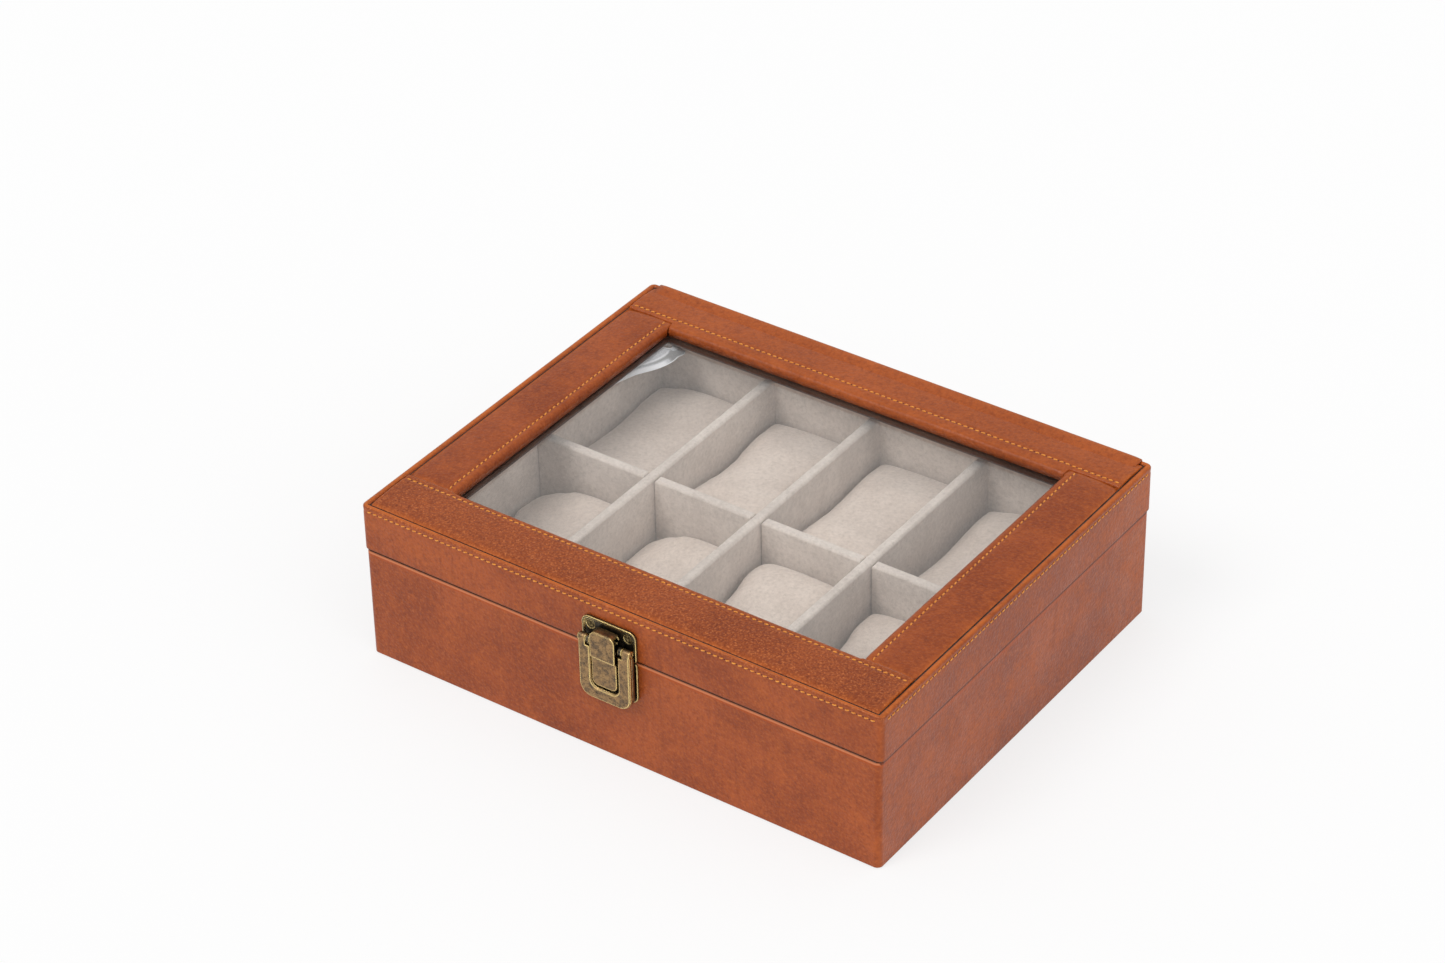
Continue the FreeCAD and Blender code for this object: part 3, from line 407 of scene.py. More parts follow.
def leather_material():
    """Waxed cognac hide: clouded and finely grained, lighter on edges from wear and from painted
    highlights, with painted shade in its creases and seams.
    """
    material, tree, shader, place = new_material("cognac_leather", Specular_IOR_Level=0.29)
    axes = node(tree, "SeparateXYZ", {0: place}).outputs
    blotch = speckle(tree, place, 90, 5, 0.65)
    grain = speckle(tree, place, 420, 5, 0.72)
    creases = speckle(tree, place, 190, 5, 0.62)
    wear_and_painted_light = node(tree, "Attribute", attribute_name="wear_and_painted_light").outputs["Fac"]
    wear_and_light = wear_and_highlight_share(tree, axes, wear_and_painted_light, blotch)
    # Lighter colour for wear, and for the painted highlights on edges, folds and the bead.
    colour = tint(tree, wear_and_light, hide_colour(tree, place, axes, blotch, grain), srgb(200, 104, 34))
    colour, seam_shade = rim_colour(tree, axes, colour)
    # Painted shade: negative wear values and the seam mask darken the hide in grooves, under rolls and in
    # the seam under the lid.
    dark = calc(tree, "MAXIMUM", span(tree, wear_and_painted_light, 0.0, -1.0), seam_shade)
    colour = tint(tree, dark, colour, srgb(54, 22, 8))
    paint(tree, shader, colour)
    rough = span(tree, blotch, 0.3, 0.7, 0.30, 0.44)
    rough = calc(tree, "SUBTRACT", rough, times(tree, wear_and_light, 0.12))
    tree.links.new(rough, shader.inputs["Roughness"])
    pebble = node(tree, "TexVoronoi", {"Vector": place, "Scale": 620.0, "Randomness": 1.0})
    layers = [(creases, 0.30, 0.45), (pebble.outputs["Distance"], 0.40, 0.30), (grain, 0.45, 0.22)]
    ruffle(tree, shader, layers)
    return material


def hole_shade_material():
    """Painted shade for a needle's hole: a mark in the colour of dark hide deep in the hole."""
    material, tree, shader, place = new_material("needle_hole_shade", Roughness=0.8)
    fibre = speckle(tree, place, 1900, 3, 0.6)
    colour = tint(tree, span(tree, fibre, 0.3, 0.7), srgb(40, 18, 8), srgb(64, 30, 14))
    paint(tree, shader, colour)
    return material


def thread_material():
    """Waxed ochre sewing thread."""
    material, tree, shader, place = new_material(
        "ochre_thread", Roughness=0.55, Sheen_Weight=0.25, Sheen_Roughness=0.4)
    fibre = speckle(tree, place, 1900, 3, 0.6)
    colour = tint(tree, span(tree, fibre, 0.3, 0.7), srgb(200, 112, 22), srgb(246, 168, 58))
    paint(tree, shader, colour)
    ruffle(tree, shader, [(fibre, 0.5, 0.12)])
    return material


def suede_material(name, low, high, pile):
    """Short-napped suede: clouded by the lie of the nap, with a fine fibre grain."""
    material, tree, shader, place = new_material(
        name, Roughness=0.92, Specular_IOR_Level=0.12, Sheen_Weight=0.35, Sheen_Roughness=0.55)
    nap = speckle(tree, place, 38, 4, 0.6)
    brushed = speckle(tree, place, 120, 4, 0.6, stretch=(1.0, 1.0, 2.6))
    fuzz = speckle(tree, place, 520, 5, 0.72)
    fibre = speckle(tree, place, 1500, 4, 0.7)
    colour = tint(tree, span(tree, nap, 0.3, 0.72), srgb(*low), srgb(*high))
    shaded = srgb(*[value - 22 for value in low])
    deep = srgb(*[value - 30 for value in low])
    pale = srgb(*[min(value + 16, 250) for value in high])
    colour = tint(tree, span(tree, brushed, 0.55, 0.85, 0.0, 0.30), colour, shaded)
    colour = tint(tree, span(tree, fuzz, 0.47, 0.68, 0.0, 0.45), colour, deep)
    colour = tint(tree, span(tree, fuzz, 0.49, 0.32, 0.0, 0.40), colour, pale)
    colour = tint(tree, span(tree, fibre, 0.5, 0.78, 0.0, 0.35), colour, deep)
    paint(tree, shader, colour)
    ruffle(tree, shader, [(brushed, 0.12, 0.4), (fuzz, 0.40, 0.35), (fibre, 0.45, pile)])
    return material


def brass_material(name, light, dark, patina, edge_rub_and_highlight=1.0):
    """Antiqued brass: brown patina in patches, dark specks, and edges rubbed bright, which also stands in
    for painted highlights on them.
    """
    material, tree, shader, place = new_material(name, Metallic=1.0, Specular_IOR_Level=0.5)
    patches = speckle(tree, place, 300, 5, 0.68)
    specks = speckle(tree, place, 1300, 4, 0.7)
    colour = tint(tree, span(tree, patches, 0.38, 0.66), srgb(*light), srgb(*dark))
    colour = tint(tree, span(tree, specks, 0.52, 0.70, 0.0, patina), colour, srgb(50, 43, 34))
    bevel, edge = edge_share(tree, 0.9, 0.002, 0.03)
    # Rubbed edges, also painted as highlights.
    rubbed_highlight = times(tree, edge, span(tree, patches, 0.30, 0.60, 0.6 * edge_rub_and_highlight, edge_rub_and_highlight))
    colour = tint(tree, rubbed_highlight, colour, srgb(255, 224, 150))
    paint(tree, shader, colour)
    rough = span(tree, specks, 0.35, 0.7, 0.32, 0.56)
    rough = calc(tree, "SUBTRACT", rough, times(tree, rubbed_highlight, 0.14))
    tree.links.new(rough, shader.inputs["Roughness"])
    ruffle(tree, shader, [(patches, 0.20, 0.25), (specks, 0.30, 0.06)], bevel)
    return material


def glass_material():
    """Clear glass; lamps shine through it as they do through a thin pane."""
    material, tree, shader, place = new_material(
        "clear_glass", Transmission_Weight=1.0, IOR=1.48, Specular_IOR_Level=0.5)
    shader.inputs["Base Color"].default_value = WHITE
    smear = speckle(tree, place, 34, 4, 0.6)
    tree.links.new(span(tree, smear, 0.35, 0.75, 0.0, 0.03), shader.inputs["Roughness"])
    clear = node(tree, "BsdfTransparent", {"Color": WHITE})
    path = node(tree, "LightPath")
    through = calc(tree, "MAXIMUM", path.outputs["Is Shadow Ray"], path.outputs["Is Diffuse Ray"])
    show_both(tree, through, shader, clear)
    return material


def wood_material(name, dark, light, rough):
    """Wood with its grain along X and fine dark pores."""
    material, tree, shader, place = new_material(name, Roughness=rough, Specular_IOR_Level=0.35)
    rings = speckle(tree, place, 60, 5, 0.6, stretch=(0.25, 2.2, 3.0))
    pores = speckle(tree, place, 900, 3, 0.6, stretch=(0.2, 1.0, 1.0))
    colour = tint(tree, span(tree, rings, 0.32, 0.68), srgb(*dark), srgb(*light))
    colour = tint(tree, span(tree, pores, 0.58, 0.74, 0.0, 0.5), colour, srgb(*[v * 0.6 for v in dark]))
    paint(tree, shader, colour)
    ruffle(tree, shader, [(pores, 0.2, 0.1)])
    return material


def satin_material():
    """Grey satin, with painted highlight where its painted-light value is positive and painted shade where
    it is negative.
    """
    material, tree, shader, place = new_material(
        "satin_ribbon", Roughness=0.34, Specular_IOR_Level=0.6, Sheen_Weight=0.3, Anisotropic=0.5)
    weave = speckle(tree, place, 1500, 2, 0.5, stretch=(1.0, 1.0, 5.0))
    cloud = speckle(tree, place, 130, 3, 0.6)
    colour = tint(tree, span(tree, weave, 0.3, 0.7), srgb(178, 180, 184), srgb(222, 224, 227))
    colour = tint(tree, span(tree, cloud, 0.5, 0.8, 0.0, 0.3), colour, srgb(156, 159, 165))
    gleam = node(tree, "Attribute", attribute_name="wear_and_painted_light").outputs["Fac"]
    # Painted highlight where the gleam is positive, painted shade where it is negative.
    colour = tint(tree, span(tree, gleam, 0.0, 1.0), colour, srgb(246, 247, 249))
    colour = tint(tree, span(tree, gleam, 0.0, -1.0), colour, srgb(134, 132, 130))
    paint(tree, shader, colour)
    ruffle(tree, shader, [(weave, 0.2, 0.05)])
    return material


def floor_material():
    """White paper sweep: shown nearly pure white, and still taking a soft shadow."""
    material, tree, shader, place = new_material("pale_floor", Roughness=0.9, Specular_IOR_Level=0.0)
    paper = speckle(tree, place, 3, 2, 0.5)
    colour = tint(tree, span(tree, paper, 0.2, 0.8), (0.93, 0.93, 0.93, 1.0), (0.94, 0.94, 0.94, 1.0))
    paint(tree, shader, colour)
    glow = node(tree, "Emission", {"Color": WHITE})
    share = times(tree, seen_share(tree), FLOOR_GLOW)
    show_both(tree, share, shader, glow)
    return material


def seen_share(tree, mirrored=True):
    """1 for rays from the camera, straight or through glass, and by way of a shiny face if mirrored."""
    path = node(tree, "LightPath")
    seen = calc(tree, "MAXIMUM", path.outputs["Is Camera Ray"], path.outputs["Is Transmission Ray"])
    if mirrored:
        seen = calc(tree, "MAXIMUM", seen, path.outputs["Is Glossy Ray"])
    return seen


LEATHER_LOOK = leather_material()
THREAD_LOOK = thread_material()
HOLE_SHADE_LOOK = hole_shade_material()
SUEDE_LOOK = suede_material("suede", (200, 187, 176), (218, 206, 195), 0.16)
CUSHION_LOOK = suede_material("cushion_suede", (210, 194, 181), (224, 209, 196), 0.12)
BRASS_LOOK = brass_material("antique_brass", (166, 134, 94), (104, 88, 72), 0.80)
SCREW_LOOK = brass_material("screw_brass", (84, 70, 54), (50, 43, 36), 0.6, 0.25)
DARK_BRASS_LOOK = brass_material("dark_brass", (92, 84, 70), (60, 56, 50), 0.55)
GLASS_LOOK = glass_material()
DARK_WOOD_LOOK = wood_material("dark_wood", (46, 36, 31), (70, 56, 48), 0.5)
BOARD_LOOK = wood_material("carcass_board", (150, 122, 92), (182, 152, 118), 0.7)
FELT_LOOK = suede_material("felt", (66, 58, 52), (84, 74, 66), 0.3)
SATIN_LOOK = satin_material()


def look_for(name):
    """The look of a CAD node, told from its name."""
    if name.startswith("cushion"):
        return CUSHION_LOOK
    if name.startswith(("tray", "divider", "cross_divider")):
        return SUEDE_LOOK
    if name.startswith("glass_pane"):
        return GLASS_LOOK
    lid_wood = name.startswith("lid_") and name.endswith(("_board", "_rail"))
    if name.startswith("glass_retainer") or lid_wood:
        return DARK_WOOD_LOOK
    if name in ("strike_plate", "latch_base_plate", "latch_pivot_pins"):
        return DARK_BRASS_LOOK
    if name.startswith(("strike", "latch", "hinge")):
        return BRASS_LOOK
    if name == "bottom_felt":
        return FELT_LOOK
    if name == "stay_ribbon":
        return SATIN_LOOK
    if name.endswith(("_leather", "_band", "_panel")):
        return LEATHER_LOOK
    return BOARD_LOOK


for node_name, cad_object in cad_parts.items():
    cad_object.data.materials.clear()
    cad_object.data.materials.append(look_for(node_name))


def linked(name, data):
    """A new object in the scene, with a mesh, a lamp or a camera as its data."""
    piece = bpy.data.objects.new(name, data)
    bpy.context.scene.collection.objects.link(piece)
    return piece


def finished(mesh, look, wear_and_painted_light=None):
    """Smooth shading, a look, and each point's wear and painted light: lighter for wear and painted
    highlights, darker for painted shade.
    """
    mesh.polygons.foreach_set("use_smooth", [True] * len(mesh.polygons))
    mesh.materials.clear()
    mesh.materials.append(look)
    if wear_and_painted_light:
        mesh.attributes.new("wear_and_painted_light", "FLOAT", "POINT").data.foreach_set("value", wear_and_painted_light)


def mesh_piece(name, points, faces, look, body, wear_and_painted_light=None):
    """A smooth-shaded mesh from points in mm, riding on a body."""
    mesh = bpy.data.meshes.new(name)
    mesh.from_pydata([[value * MM for value in point] for point in points], [], faces)
    shape = bmesh.new()
    shape.from_mesh(mesh)
    bmesh.ops.recalc_face_normals(shape, faces=shape.faces)
    shape.to_mesh(mesh)
    shape.free()
    finished(mesh, look, wear_and_painted_light)
    piece = linked(name, mesh)
    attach(piece, body)
    return piece


def grid_faces(rows, columns):
    """Quads of a tube: rows along it, closed across, with a cap at each end."""
    faces = []
    for row in range(rows - 1):
        for column in range(columns):
            beside = (column + 1) % columns
            here = row * columns
            there = here + columns
            faces.append((here + column, here + beside, there + beside, there + column))
    faces.append(tuple(range(columns))[::-1])
    last = (rows - 1) * columns
    faces.append(tuple(range(last, last + columns)))
    return faces


def mixed(first, second, share):
    """The value at a share of the way from first to second."""
    return first + (second - first) * share


def eased(value, low, high):
    """0 below low and 1 above high, with a smooth rise between them."""
    share = min(max((value - low) / (high - low), 0.0), 1.0)
    return share * share * (3 - 2 * share)


def crown(across, outer, inner):
    """Height of a panel's padded top between its outer edge and its inner one."""
    share = (across - outer) / (inner - outer)
    straight = mixed(PANEL_EDGE_TOP, LID_TOP, share)
    return straight + CROWN_RISE * 4 * share * (1 - share)


class Panel:
    """A strip of hide on the lid's frame: crowned, sewn, and rolled over the window's edge."""

    TOP_STEPS = 30
    ROLL_STEPS = 7

    def __init__(self, name, outer, window, free_edge, stitch, along_x):
        self.name = name
        self.outer = outer
        self.window = window
        self.free_edge = free_edge
        self.stitch = stitch
        self.along_x = along_x
        self.sign = 1 if outer > window else -1

    def share(self, run):
        """1 where the panel goes down into the window, 0 where it lies on another rail."""
        if not self.along_x:
            return 1.0 if run < WINDOW_BACK else 0.0
        return 1 - eased(abs(run), WINDOW_X + WINDOW_EASE[0], WINDOW_X + WINDOW_EASE[1])

    def inner(self, run):
        """The panel's inner edge: its place, the roll's radius and the height that it goes down to."""
        share = self.share(run)
        edge = mixed(self.free_edge, self.window, share)
        roll = mixed(LEATHER, ROLL, share)
        low = mixed(RAIL_TOP + HAIR, GLASS_TOP + HAIR, share)
        return edge, roll, low

    def top(self, run, across):
        """Height of the sewn top, with the groove that the stitches pull."""
        edge, roll, _ = self.inner(run)
        height = crown(across, self.outer, edge + self.sign * roll)
        away = across - self.stitch
        phase = math.cos(2 * math.pi * run / STITCH_PITCH)
        height -= (GROOVE_DEPTH - GROOVE_BEAT * phase) * math.exp(-(away / GROOVE_HALF) ** 2)
        height += RIDGE_RISE * math.exp(-((abs(away) - RIDGE_AWAY) / RIDGE_HALF) ** 2)
        wave = noise.noise(Vector((run * 0.035, across * 0.07, self.outer)))
        return height + PANEL_SWELL * wave - self.tuck(run)

    def sewn_spot(self, run, lift):
        """A place on the sewn line, lifted off the hide."""
        height = self.top(run, self.stitch) + lift
        return (run, self.stitch, height) if self.along_x else (self.stitch, run, height)

    def tuck(self, run):
        """How far a side panel's ends go down where they pass under the front and back panels."""
        if self.along_x:
            return -PROUD
        away = min(run - WINDOW_FRONT, BACK_FREE_EDGE - run)
        return TUCK * math.exp(-max(away, 0.0) / TUCK_REACH)

    def section(self, run):
        """Points (across, height, wear and painted light) round the panel at one place along it."""
        edge, roll, low = self.inner(run)
        sign = self.sign
        fold = edge + sign * roll
        # Painted shade at the foot of the outer edge, in the groove by the band's bead.
        points = [(self.outer, RAIL_TOP + HAIR, -1.0), (self.outer, RAIL_TOP + EDGE_STEP, -0.5)]
        for step in range(self.TOP_STEPS + 1):
            share = step / self.TOP_STEPS
            across = mixed(self.outer - sign * EDGE_STEP, fold, share)
            from_edge = abs(across - self.outer)
            shoulder = SHOULDER_DROP * math.exp(-from_edge / SHOULDER_REACH)
            # Painted highlight along the outer edge, and wear with painted highlight at the fold.
            wear_and_light = EDGE_HIGHLIGHT * math.exp(-from_edge / EDGE_HIGHLIGHT_REACH)
            wear_and_light += FOLD_WEAR_AND_HIGHLIGHT * math.exp(-abs(across - fold) / FOLD_WEAR_AND_HIGHLIGHT_REACH)
            points.append((across, self.top(run, across) - shoulder, wear_and_light))
        centre = points[-1][1] - roll
        for step in range(1, self.ROLL_STEPS + 1):
            turn = step / self.ROLL_STEPS * math.pi / 2
            height = max(centre + roll * math.cos(turn), low)
            wrinkle = WRINKLE * noise.noise(Vector((run * 0.17, turn, self.outer))) * math.sin(turn)
            reach = fold - sign * (roll + min(wrinkle, 0.0)) * math.sin(turn)
            # Down the roll: wear and painted light at its top, fading to painted shade where it turns down
            # into the window.
            points.append((reach, height, ROLL_WEAR_AND_LIGHT - ROLL_SHADE * step / self.ROLL_STEPS))
        behind = edge + sign * LEATHER
        # Painted shade where the roll ends, down at the glass or the rail.
        return points + [(edge, low, -0.8), (behind, low, 0.0), (behind, RAIL_TOP + HAIR, 0.0)]

    def build(self, start, end):
        """Makes the panel's mesh, in place of the CAD's."""
        count = round((end - start) / STITCH_PITCH * ROWS_PER_STITCH)
        stops = [start + away for away in END_ROWS]
        stops += [mixed(start + END_MARGIN, end - END_MARGIN, step / count) for step in range(count + 1)]
        stops += [end - away for away in reversed(END_ROWS)]
        points = []
        wear_and_painted_light = []
        for run in stops:
            inset = min(run - start, end - run)
            drop = END_DROP * max(0.0, 1 - inset / END_REACH) ** 2
            for across, height, wear_and_light in self.section(run):
                height = max(height - drop, min(height, RAIL_TOP + HAIR))
                points.append((run, across, height) if self.along_x else (across, run, height))
                wear_and_painted_light.append(max(wear_and_light, END_WEAR * math.exp(-inset)))
        columns = len(points) // len(stops)
        piece = mesh_piece(self.name + "_hide", points, grid_faces(len(stops), columns),
                           LEATHER_LOOK, "lid", wear_and_painted_light)
        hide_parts(self.name)


def stitch_points(centre, run, up, number, size):
    """One stitch: a thread that swells in the middle and dives into its two holes."""
    long, broad, thick = size
    across = run.cross(up)
    slant = STITCH_SLANT + SLANT_PLAY * math.sin(number * 2.3)
    along = (run - across * slant).normalized()
    wide = along.cross(up)
    points = []
    for ring in range(STITCH_RINGS):
        share = 2 * ring / (STITCH_RINGS - 1) - 1
        swollen = max(1 - share * share, 0.0) ** 0.42
        sink = STITCH_DIVE * share * share
        middle = centre + along * (share * long / 2) - up * sink
        for side in range(STITCH_SIDES):
            turn = 2 * math.pi * side / STITCH_SIDES
            offset = wide * (math.cos(turn) * broad / 2) + up * (math.sin(turn) * thick / 2)
            points.append(middle + offset * max(swollen, STITCH_TIP))
    return points, grid_faces(STITCH_RINGS, STITCH_SIDES)


def stitch_line(name, stops, spot, run, up):
    """A row of stitches with a dark mark of painted shade for the needle hole after each; spot(stop, lift)
    is a place on the hide.
    """
    sewn_row(name, [spot(stop, STITCH_LIFT) for stop in stops], run, up, STITCH_SIZE, THREAD_LOOK)
    # Painted shade: a dark mark for each needle hole.
    holes = [spot(stop + STITCH_PITCH / 2, HOLE_LIFT) for stop in stops[:-1]]
    sewn_row(name + "_holes", holes, run, up, HOLE_SIZE, HOLE_SHADE_LOOK)


def sewn_row(name, places, run, up, size, look):
    """One piece with a stitch, or a hole of the same form, at each of the places."""
    parts = [stitch_points(Vector(place), run, up, number, size) for number, place in enumerate(places)]
    points, faces = gathered(parts)
    mesh_piece(name, points, faces, look, "lid")


def gathered(parts):
    """The points and faces of several small meshes as those of one."""
    points = []
    faces = []
    for own, own_faces in parts:
        first = len(points)
        points += own
        faces += [tuple(first + index for index in face) for face in own_faces]
    return points, faces


def stitch_stops(start, end):
    """The middles of the stitches that fit between start and end."""
    count = int((end - start) / STITCH_PITCH)
    spare = (end - start - count * STITCH_PITCH) / 2
    return [start + spare + STITCH_PITCH * (number + 0.5) for number in range(count)]


def sewn_panels():
    """The four top panels and their seams."""
    front = Panel("front_panel", -LIP_INSIDE_Y, WINDOW_FRONT, WINDOW_FRONT, FRONT_STITCH, True)
    back = Panel("back_panel", LIP_INSIDE_Y, WINDOW_BACK, BACK_FREE_EDGE, BACK_STITCH, True)
    for panel in (front, back):
        panel.build(-LIP_INSIDE_X, LIP_INSIDE_X)
        stops = stitch_stops(PANEL_SEAM_INSET - LIP_INSIDE_X, LIP_INSIDE_X - PANEL_SEAM_INSET)
        stitch_line(panel.name + "_thread", stops, panel.sewn_spot, ALONG_X, UPWARD)
    for name, sign in (("left_panel", -1), ("right_panel", 1)):
        window = sign * WINDOW_X
        panel = Panel(name, sign * LIP_INSIDE_X, window, window, sign * SIDE_STITCH, False)
        panel.build(WINDOW_FRONT, BACK_FREE_EDGE)
        stops = stitch_stops(WINDOW_FRONT + SIDE_SEAM_INSET, BACK_FREE_EDGE - SIDE_SEAM_INSET)
        stitch_line(name + "_thread", stops, panel.sewn_spot, ALONG_Y, UPWARD)


def band_path():
    """Places along the lid's sides, from the back left round the front to the back right."""
    corners = ((-1, 1), (-1, -1), (1, -1), (1, 1))
    spots = [(-BACK_BAND_END, BAND_DEPTH)]
    for index, (side_x, side_y) in enumerate(corners):
        centre = (side_x * (BAND_SIDE - CORNER), side_y * (BAND_DEPTH - CORNER))
        start = math.pi / 2 + index * math.pi / 2
        for turn in range(CORNER_TURNS + 1):
            angle = start + turn / CORNER_TURNS * math.pi / 2
            spots.append((centre[0] + CORNER * math.cos(angle), centre[1] + CORNER * math.sin(angle)))
    spots.append((BACK_BAND_END, BAND_DEPTH))
    path = []
    for start, end in zip(spots, spots[1:]):
        count = max(1, round(math.dist(start, end) / (STITCH_PITCH / BAND_ROWS_PER_STITCH)))
        for step in range(count):
            share = step / count
            path.append((mixed(start[0], end[0], share), mixed(start[1], end[1], share)))
    path.append(spots[-1])
    return path


def lid_band():
    """The hide round the lid's sides, swept round the corners, with its turned-over edge as a soft bead."""
    path = band_path()
    points = []
    wear_and_painted_light = []
    for index, (x, y) in enumerate(path):
        after = path[min(index + 1, len(path) - 1)]
        before = path[max(index - 1, 0)]
        ahead = Vector((after[0] - before[0], after[1] - before[1])).normalized()
        inward = Vector((-ahead.y, ahead.x))
        half = mixed(BEAD_HALF, SIDE_BEAD_HALF, abs(inward.x))
        for depth, height, wear_and_light in band_section(index * STITCH_PITCH / BAND_ROWS_PER_STITCH, half):
            points.append((x + inward.x * depth, y + inward.y * depth, height))
            wear_and_painted_light.append(wear_and_light)
    columns = len(points) // len(path)
    piece = mesh_piece("lid_side_hide", points, grid_faces(len(path), columns), LEATHER_LOOK, "lid",
                       wear_and_painted_light)
    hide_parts("lid_side_band")


def band_section(run, half):
    """Points (depth behind the face, height, wear and painted light) round the band; half is half its
    bead's width.
    """
    sway = noise.noise(Vector((run * 0.03, 4.2, 1.0)))
    # Painted shade at the band's foot, in the seam over the base.
    points = [(LEATHER, BAND_LOW, -1.0), (0.4, BAND_LOW, -1.0), (0.1, BAND_LOW + 0.12, -0.9),
              (0.0, BAND_LOW + BAND_LIP, -0.25)]
    for step in range(1, BAND_STEPS):
        height = mixed(BAND_LOW + BAND_LIP, BEAD_MIDDLE, step / BAND_STEPS)
        pull = BAND_GROOVE * math.exp(-((height - BAND_STITCH_HIGH) / BAND_GROOVE_HALF) ** 2)
        ripple = BAND_RIPPLE * noise.noise(Vector((run * 0.05, height * 0.09, 7.7)))
        points.append((max(pull + ripple, 0.0), height, 0.0))
    for step in range(BEAD_STEPS + 1):
        angle = math.pi * (1 - step / BEAD_STEPS)
        depth = half * (1 + math.cos(angle))
        rise = (BEAD_RISE + BEAD_SWAY * sway) * math.sin(angle)
        # Wear with a painted highlight along the bead's crest.
        points.append((depth, BEAD_MIDDLE + rise, BEAD_WEAR_AND_HIGHLIGHT * math.sin(angle) ** 2))
    # Painted shade on the bead's inner side, down in the groove by the panel.
    return points + [(2 * half, RAIL_TOP + HAIR, -1.0), (LEATHER, RAIL_TOP + HAIR, -1.0)]


def back_hide():
    """The hide down the lid's back, which rises a little out of the back panel and turns over the edge."""
    points = []
    wear_and_painted_light = []
    for row in range(BACK_ROWS + 1):
        run = mixed(-BACK_BAND_END, BACK_BAND_END, row / BACK_ROWS)
        sway = BACK_SWAY * noise.noise(Vector((run * 0.04, 3.1, 2.0)))
        end = BACK_END_DROP * math.exp(-(BACK_BAND_END - abs(run)) / BACK_END_REACH)
        for y, z, wear_and_light in BACK_PROFILE:
            rise = eased(z, RAIL_TOP, BACK_TOP) * (sway - end)
            points.append((run, y, min(z + rise, BACK_TOP)))
            wear_and_painted_light.append(wear_and_light)
    faces = grid_faces(BACK_ROWS + 1, len(BACK_PROFILE))
    piece = mesh_piece("lid_back_hide", points, faces, LEATHER_LOOK, "lid", wear_and_painted_light)
    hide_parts("lid_back_band")


def band_stitches():
    """The seams of the band, at the front and both sides."""

    def front_spot(run, lift):
        return (run, BAND_PULL - BAND_DEPTH - lift, BAND_STITCH_HIGH)

    def right_spot(run, lift):
        return (BAND_SIDE - BAND_PULL + lift, run, BAND_STITCH_HIGH)

    def left_spot(run, lift):
        return (BAND_PULL - BAND_SIDE - lift, run, BAND_STITCH_HIGH)

    stops = stitch_stops(-BAND_SEAM_X, BAND_SEAM_X)
    stitch_line("band_front_thread", stops, front_spot, ALONG_X, -ALONG_Y)
    stops = stitch_stops(-BAND_SEAM_Y, BAND_SEAM_Y)
    stitch_line("band_left_thread", stops, left_spot, ALONG_Y, -ALONG_X)
    stitch_line("band_right_thread", stops, right_spot, ALONG_Y, ALONG_X)


def soft_copy(name, shape):
    """A loose copy of a CAD cushion, its points moved by shape(point)."""
    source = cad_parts[name]
    mesh = source.data.copy()
    mesh.name = name + "_pad"
    for vertex in mesh.vertices:
        vertex.co = shape(vertex.co / MM) * MM
    return linked(name + "_pad", mesh)


def cushion_shape(name):
    """A function that moves a point of the CAD cushion to the outline that the photo shows."""
    lean, dome, dip, height = CUSHION_FORMS[name]
    low, high = [Vector(corner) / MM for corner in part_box(name)]
    middle = (low + high) / 2
    half = (high - low) / 2

    def moved(point):
        away = point - middle
        rise = eased(point.z, CUSHION_BED + CUSHION_RISE[0], high.z - CUSHION_RISE[1])
        across = away.x / half.x
        along = away.y / half.y
        lift = lean * across - dome * across * across - dip * (1 - along * along)
        lift += height * (1 + along) / 2
        shrink = Vector([math.copysign(min(abs(v), CUSHION_SHRINK), v) for v in away])
        shrink.z = CUSHION_SHRINK * rise
        full = WAIST_FILL * across * (1 - along * along)
        return point - shrink + Vector((full, 0, lift * rise))

    return moved


def remesh(piece, voxel):
    """Gives the piece even faces of the voxel's size."""
    modifier = piece.modifiers.new("remesh", "REMESH")
    modifier.mode = "VOXEL"
    modifier.voxel_size = voxel * MM
    apply_modifiers(piece)


def apply_modifiers(piece):
    """The piece's evaluated mesh becomes its own."""
    bpy.context.view_layer.update()
    graph = bpy.context.evaluated_depsgraph_get()
    mesh = bpy.data.meshes.new_from_object(piece.evaluated_get(graph))
    old = piece.data
    piece.modifiers.clear()
    piece.data = mesh
    bpy.data.meshes.remove(old)


def swell(pieces):
    """Blows the cushions up a little as cloth, all in one run."""
    scene = bpy.context.scene
    before = {}
    for piece in pieces:
        before[piece.name] = [vertex.co.copy() for vertex in piece.data.vertices]
        cloth = piece.modifiers.new("cloth", "CLOTH")
        cloth.settings.use_pressure = True
        cloth.settings.uniform_pressure_force = SWELL_PRESSURE
        cloth.settings.tension_stiffness = SWELL_STIFFNESS
        cloth.settings.compression_stiffness = SWELL_STIFFNESS
        cloth.settings.bending_stiffness = SWELL_BENDING
        cloth.settings.effector_weights.gravity = 0
        cloth.point_cache.frame_start = 1
        cloth.point_cache.frame_end = SWELL_FRAMES
    for number in range(1, SWELL_FRAMES + 1):
        scene.frame_set(number)
    for piece in pieces:
        apply_modifiers(piece)
        for vertex, start in zip(piece.data.vertices, before[piece.name]):
            step = vertex.co - start
            if step.length > SWELL_CAP * MM:
                vertex.co = start + step.normalized() * SWELL_CAP * MM
    scene.frame_set(1)


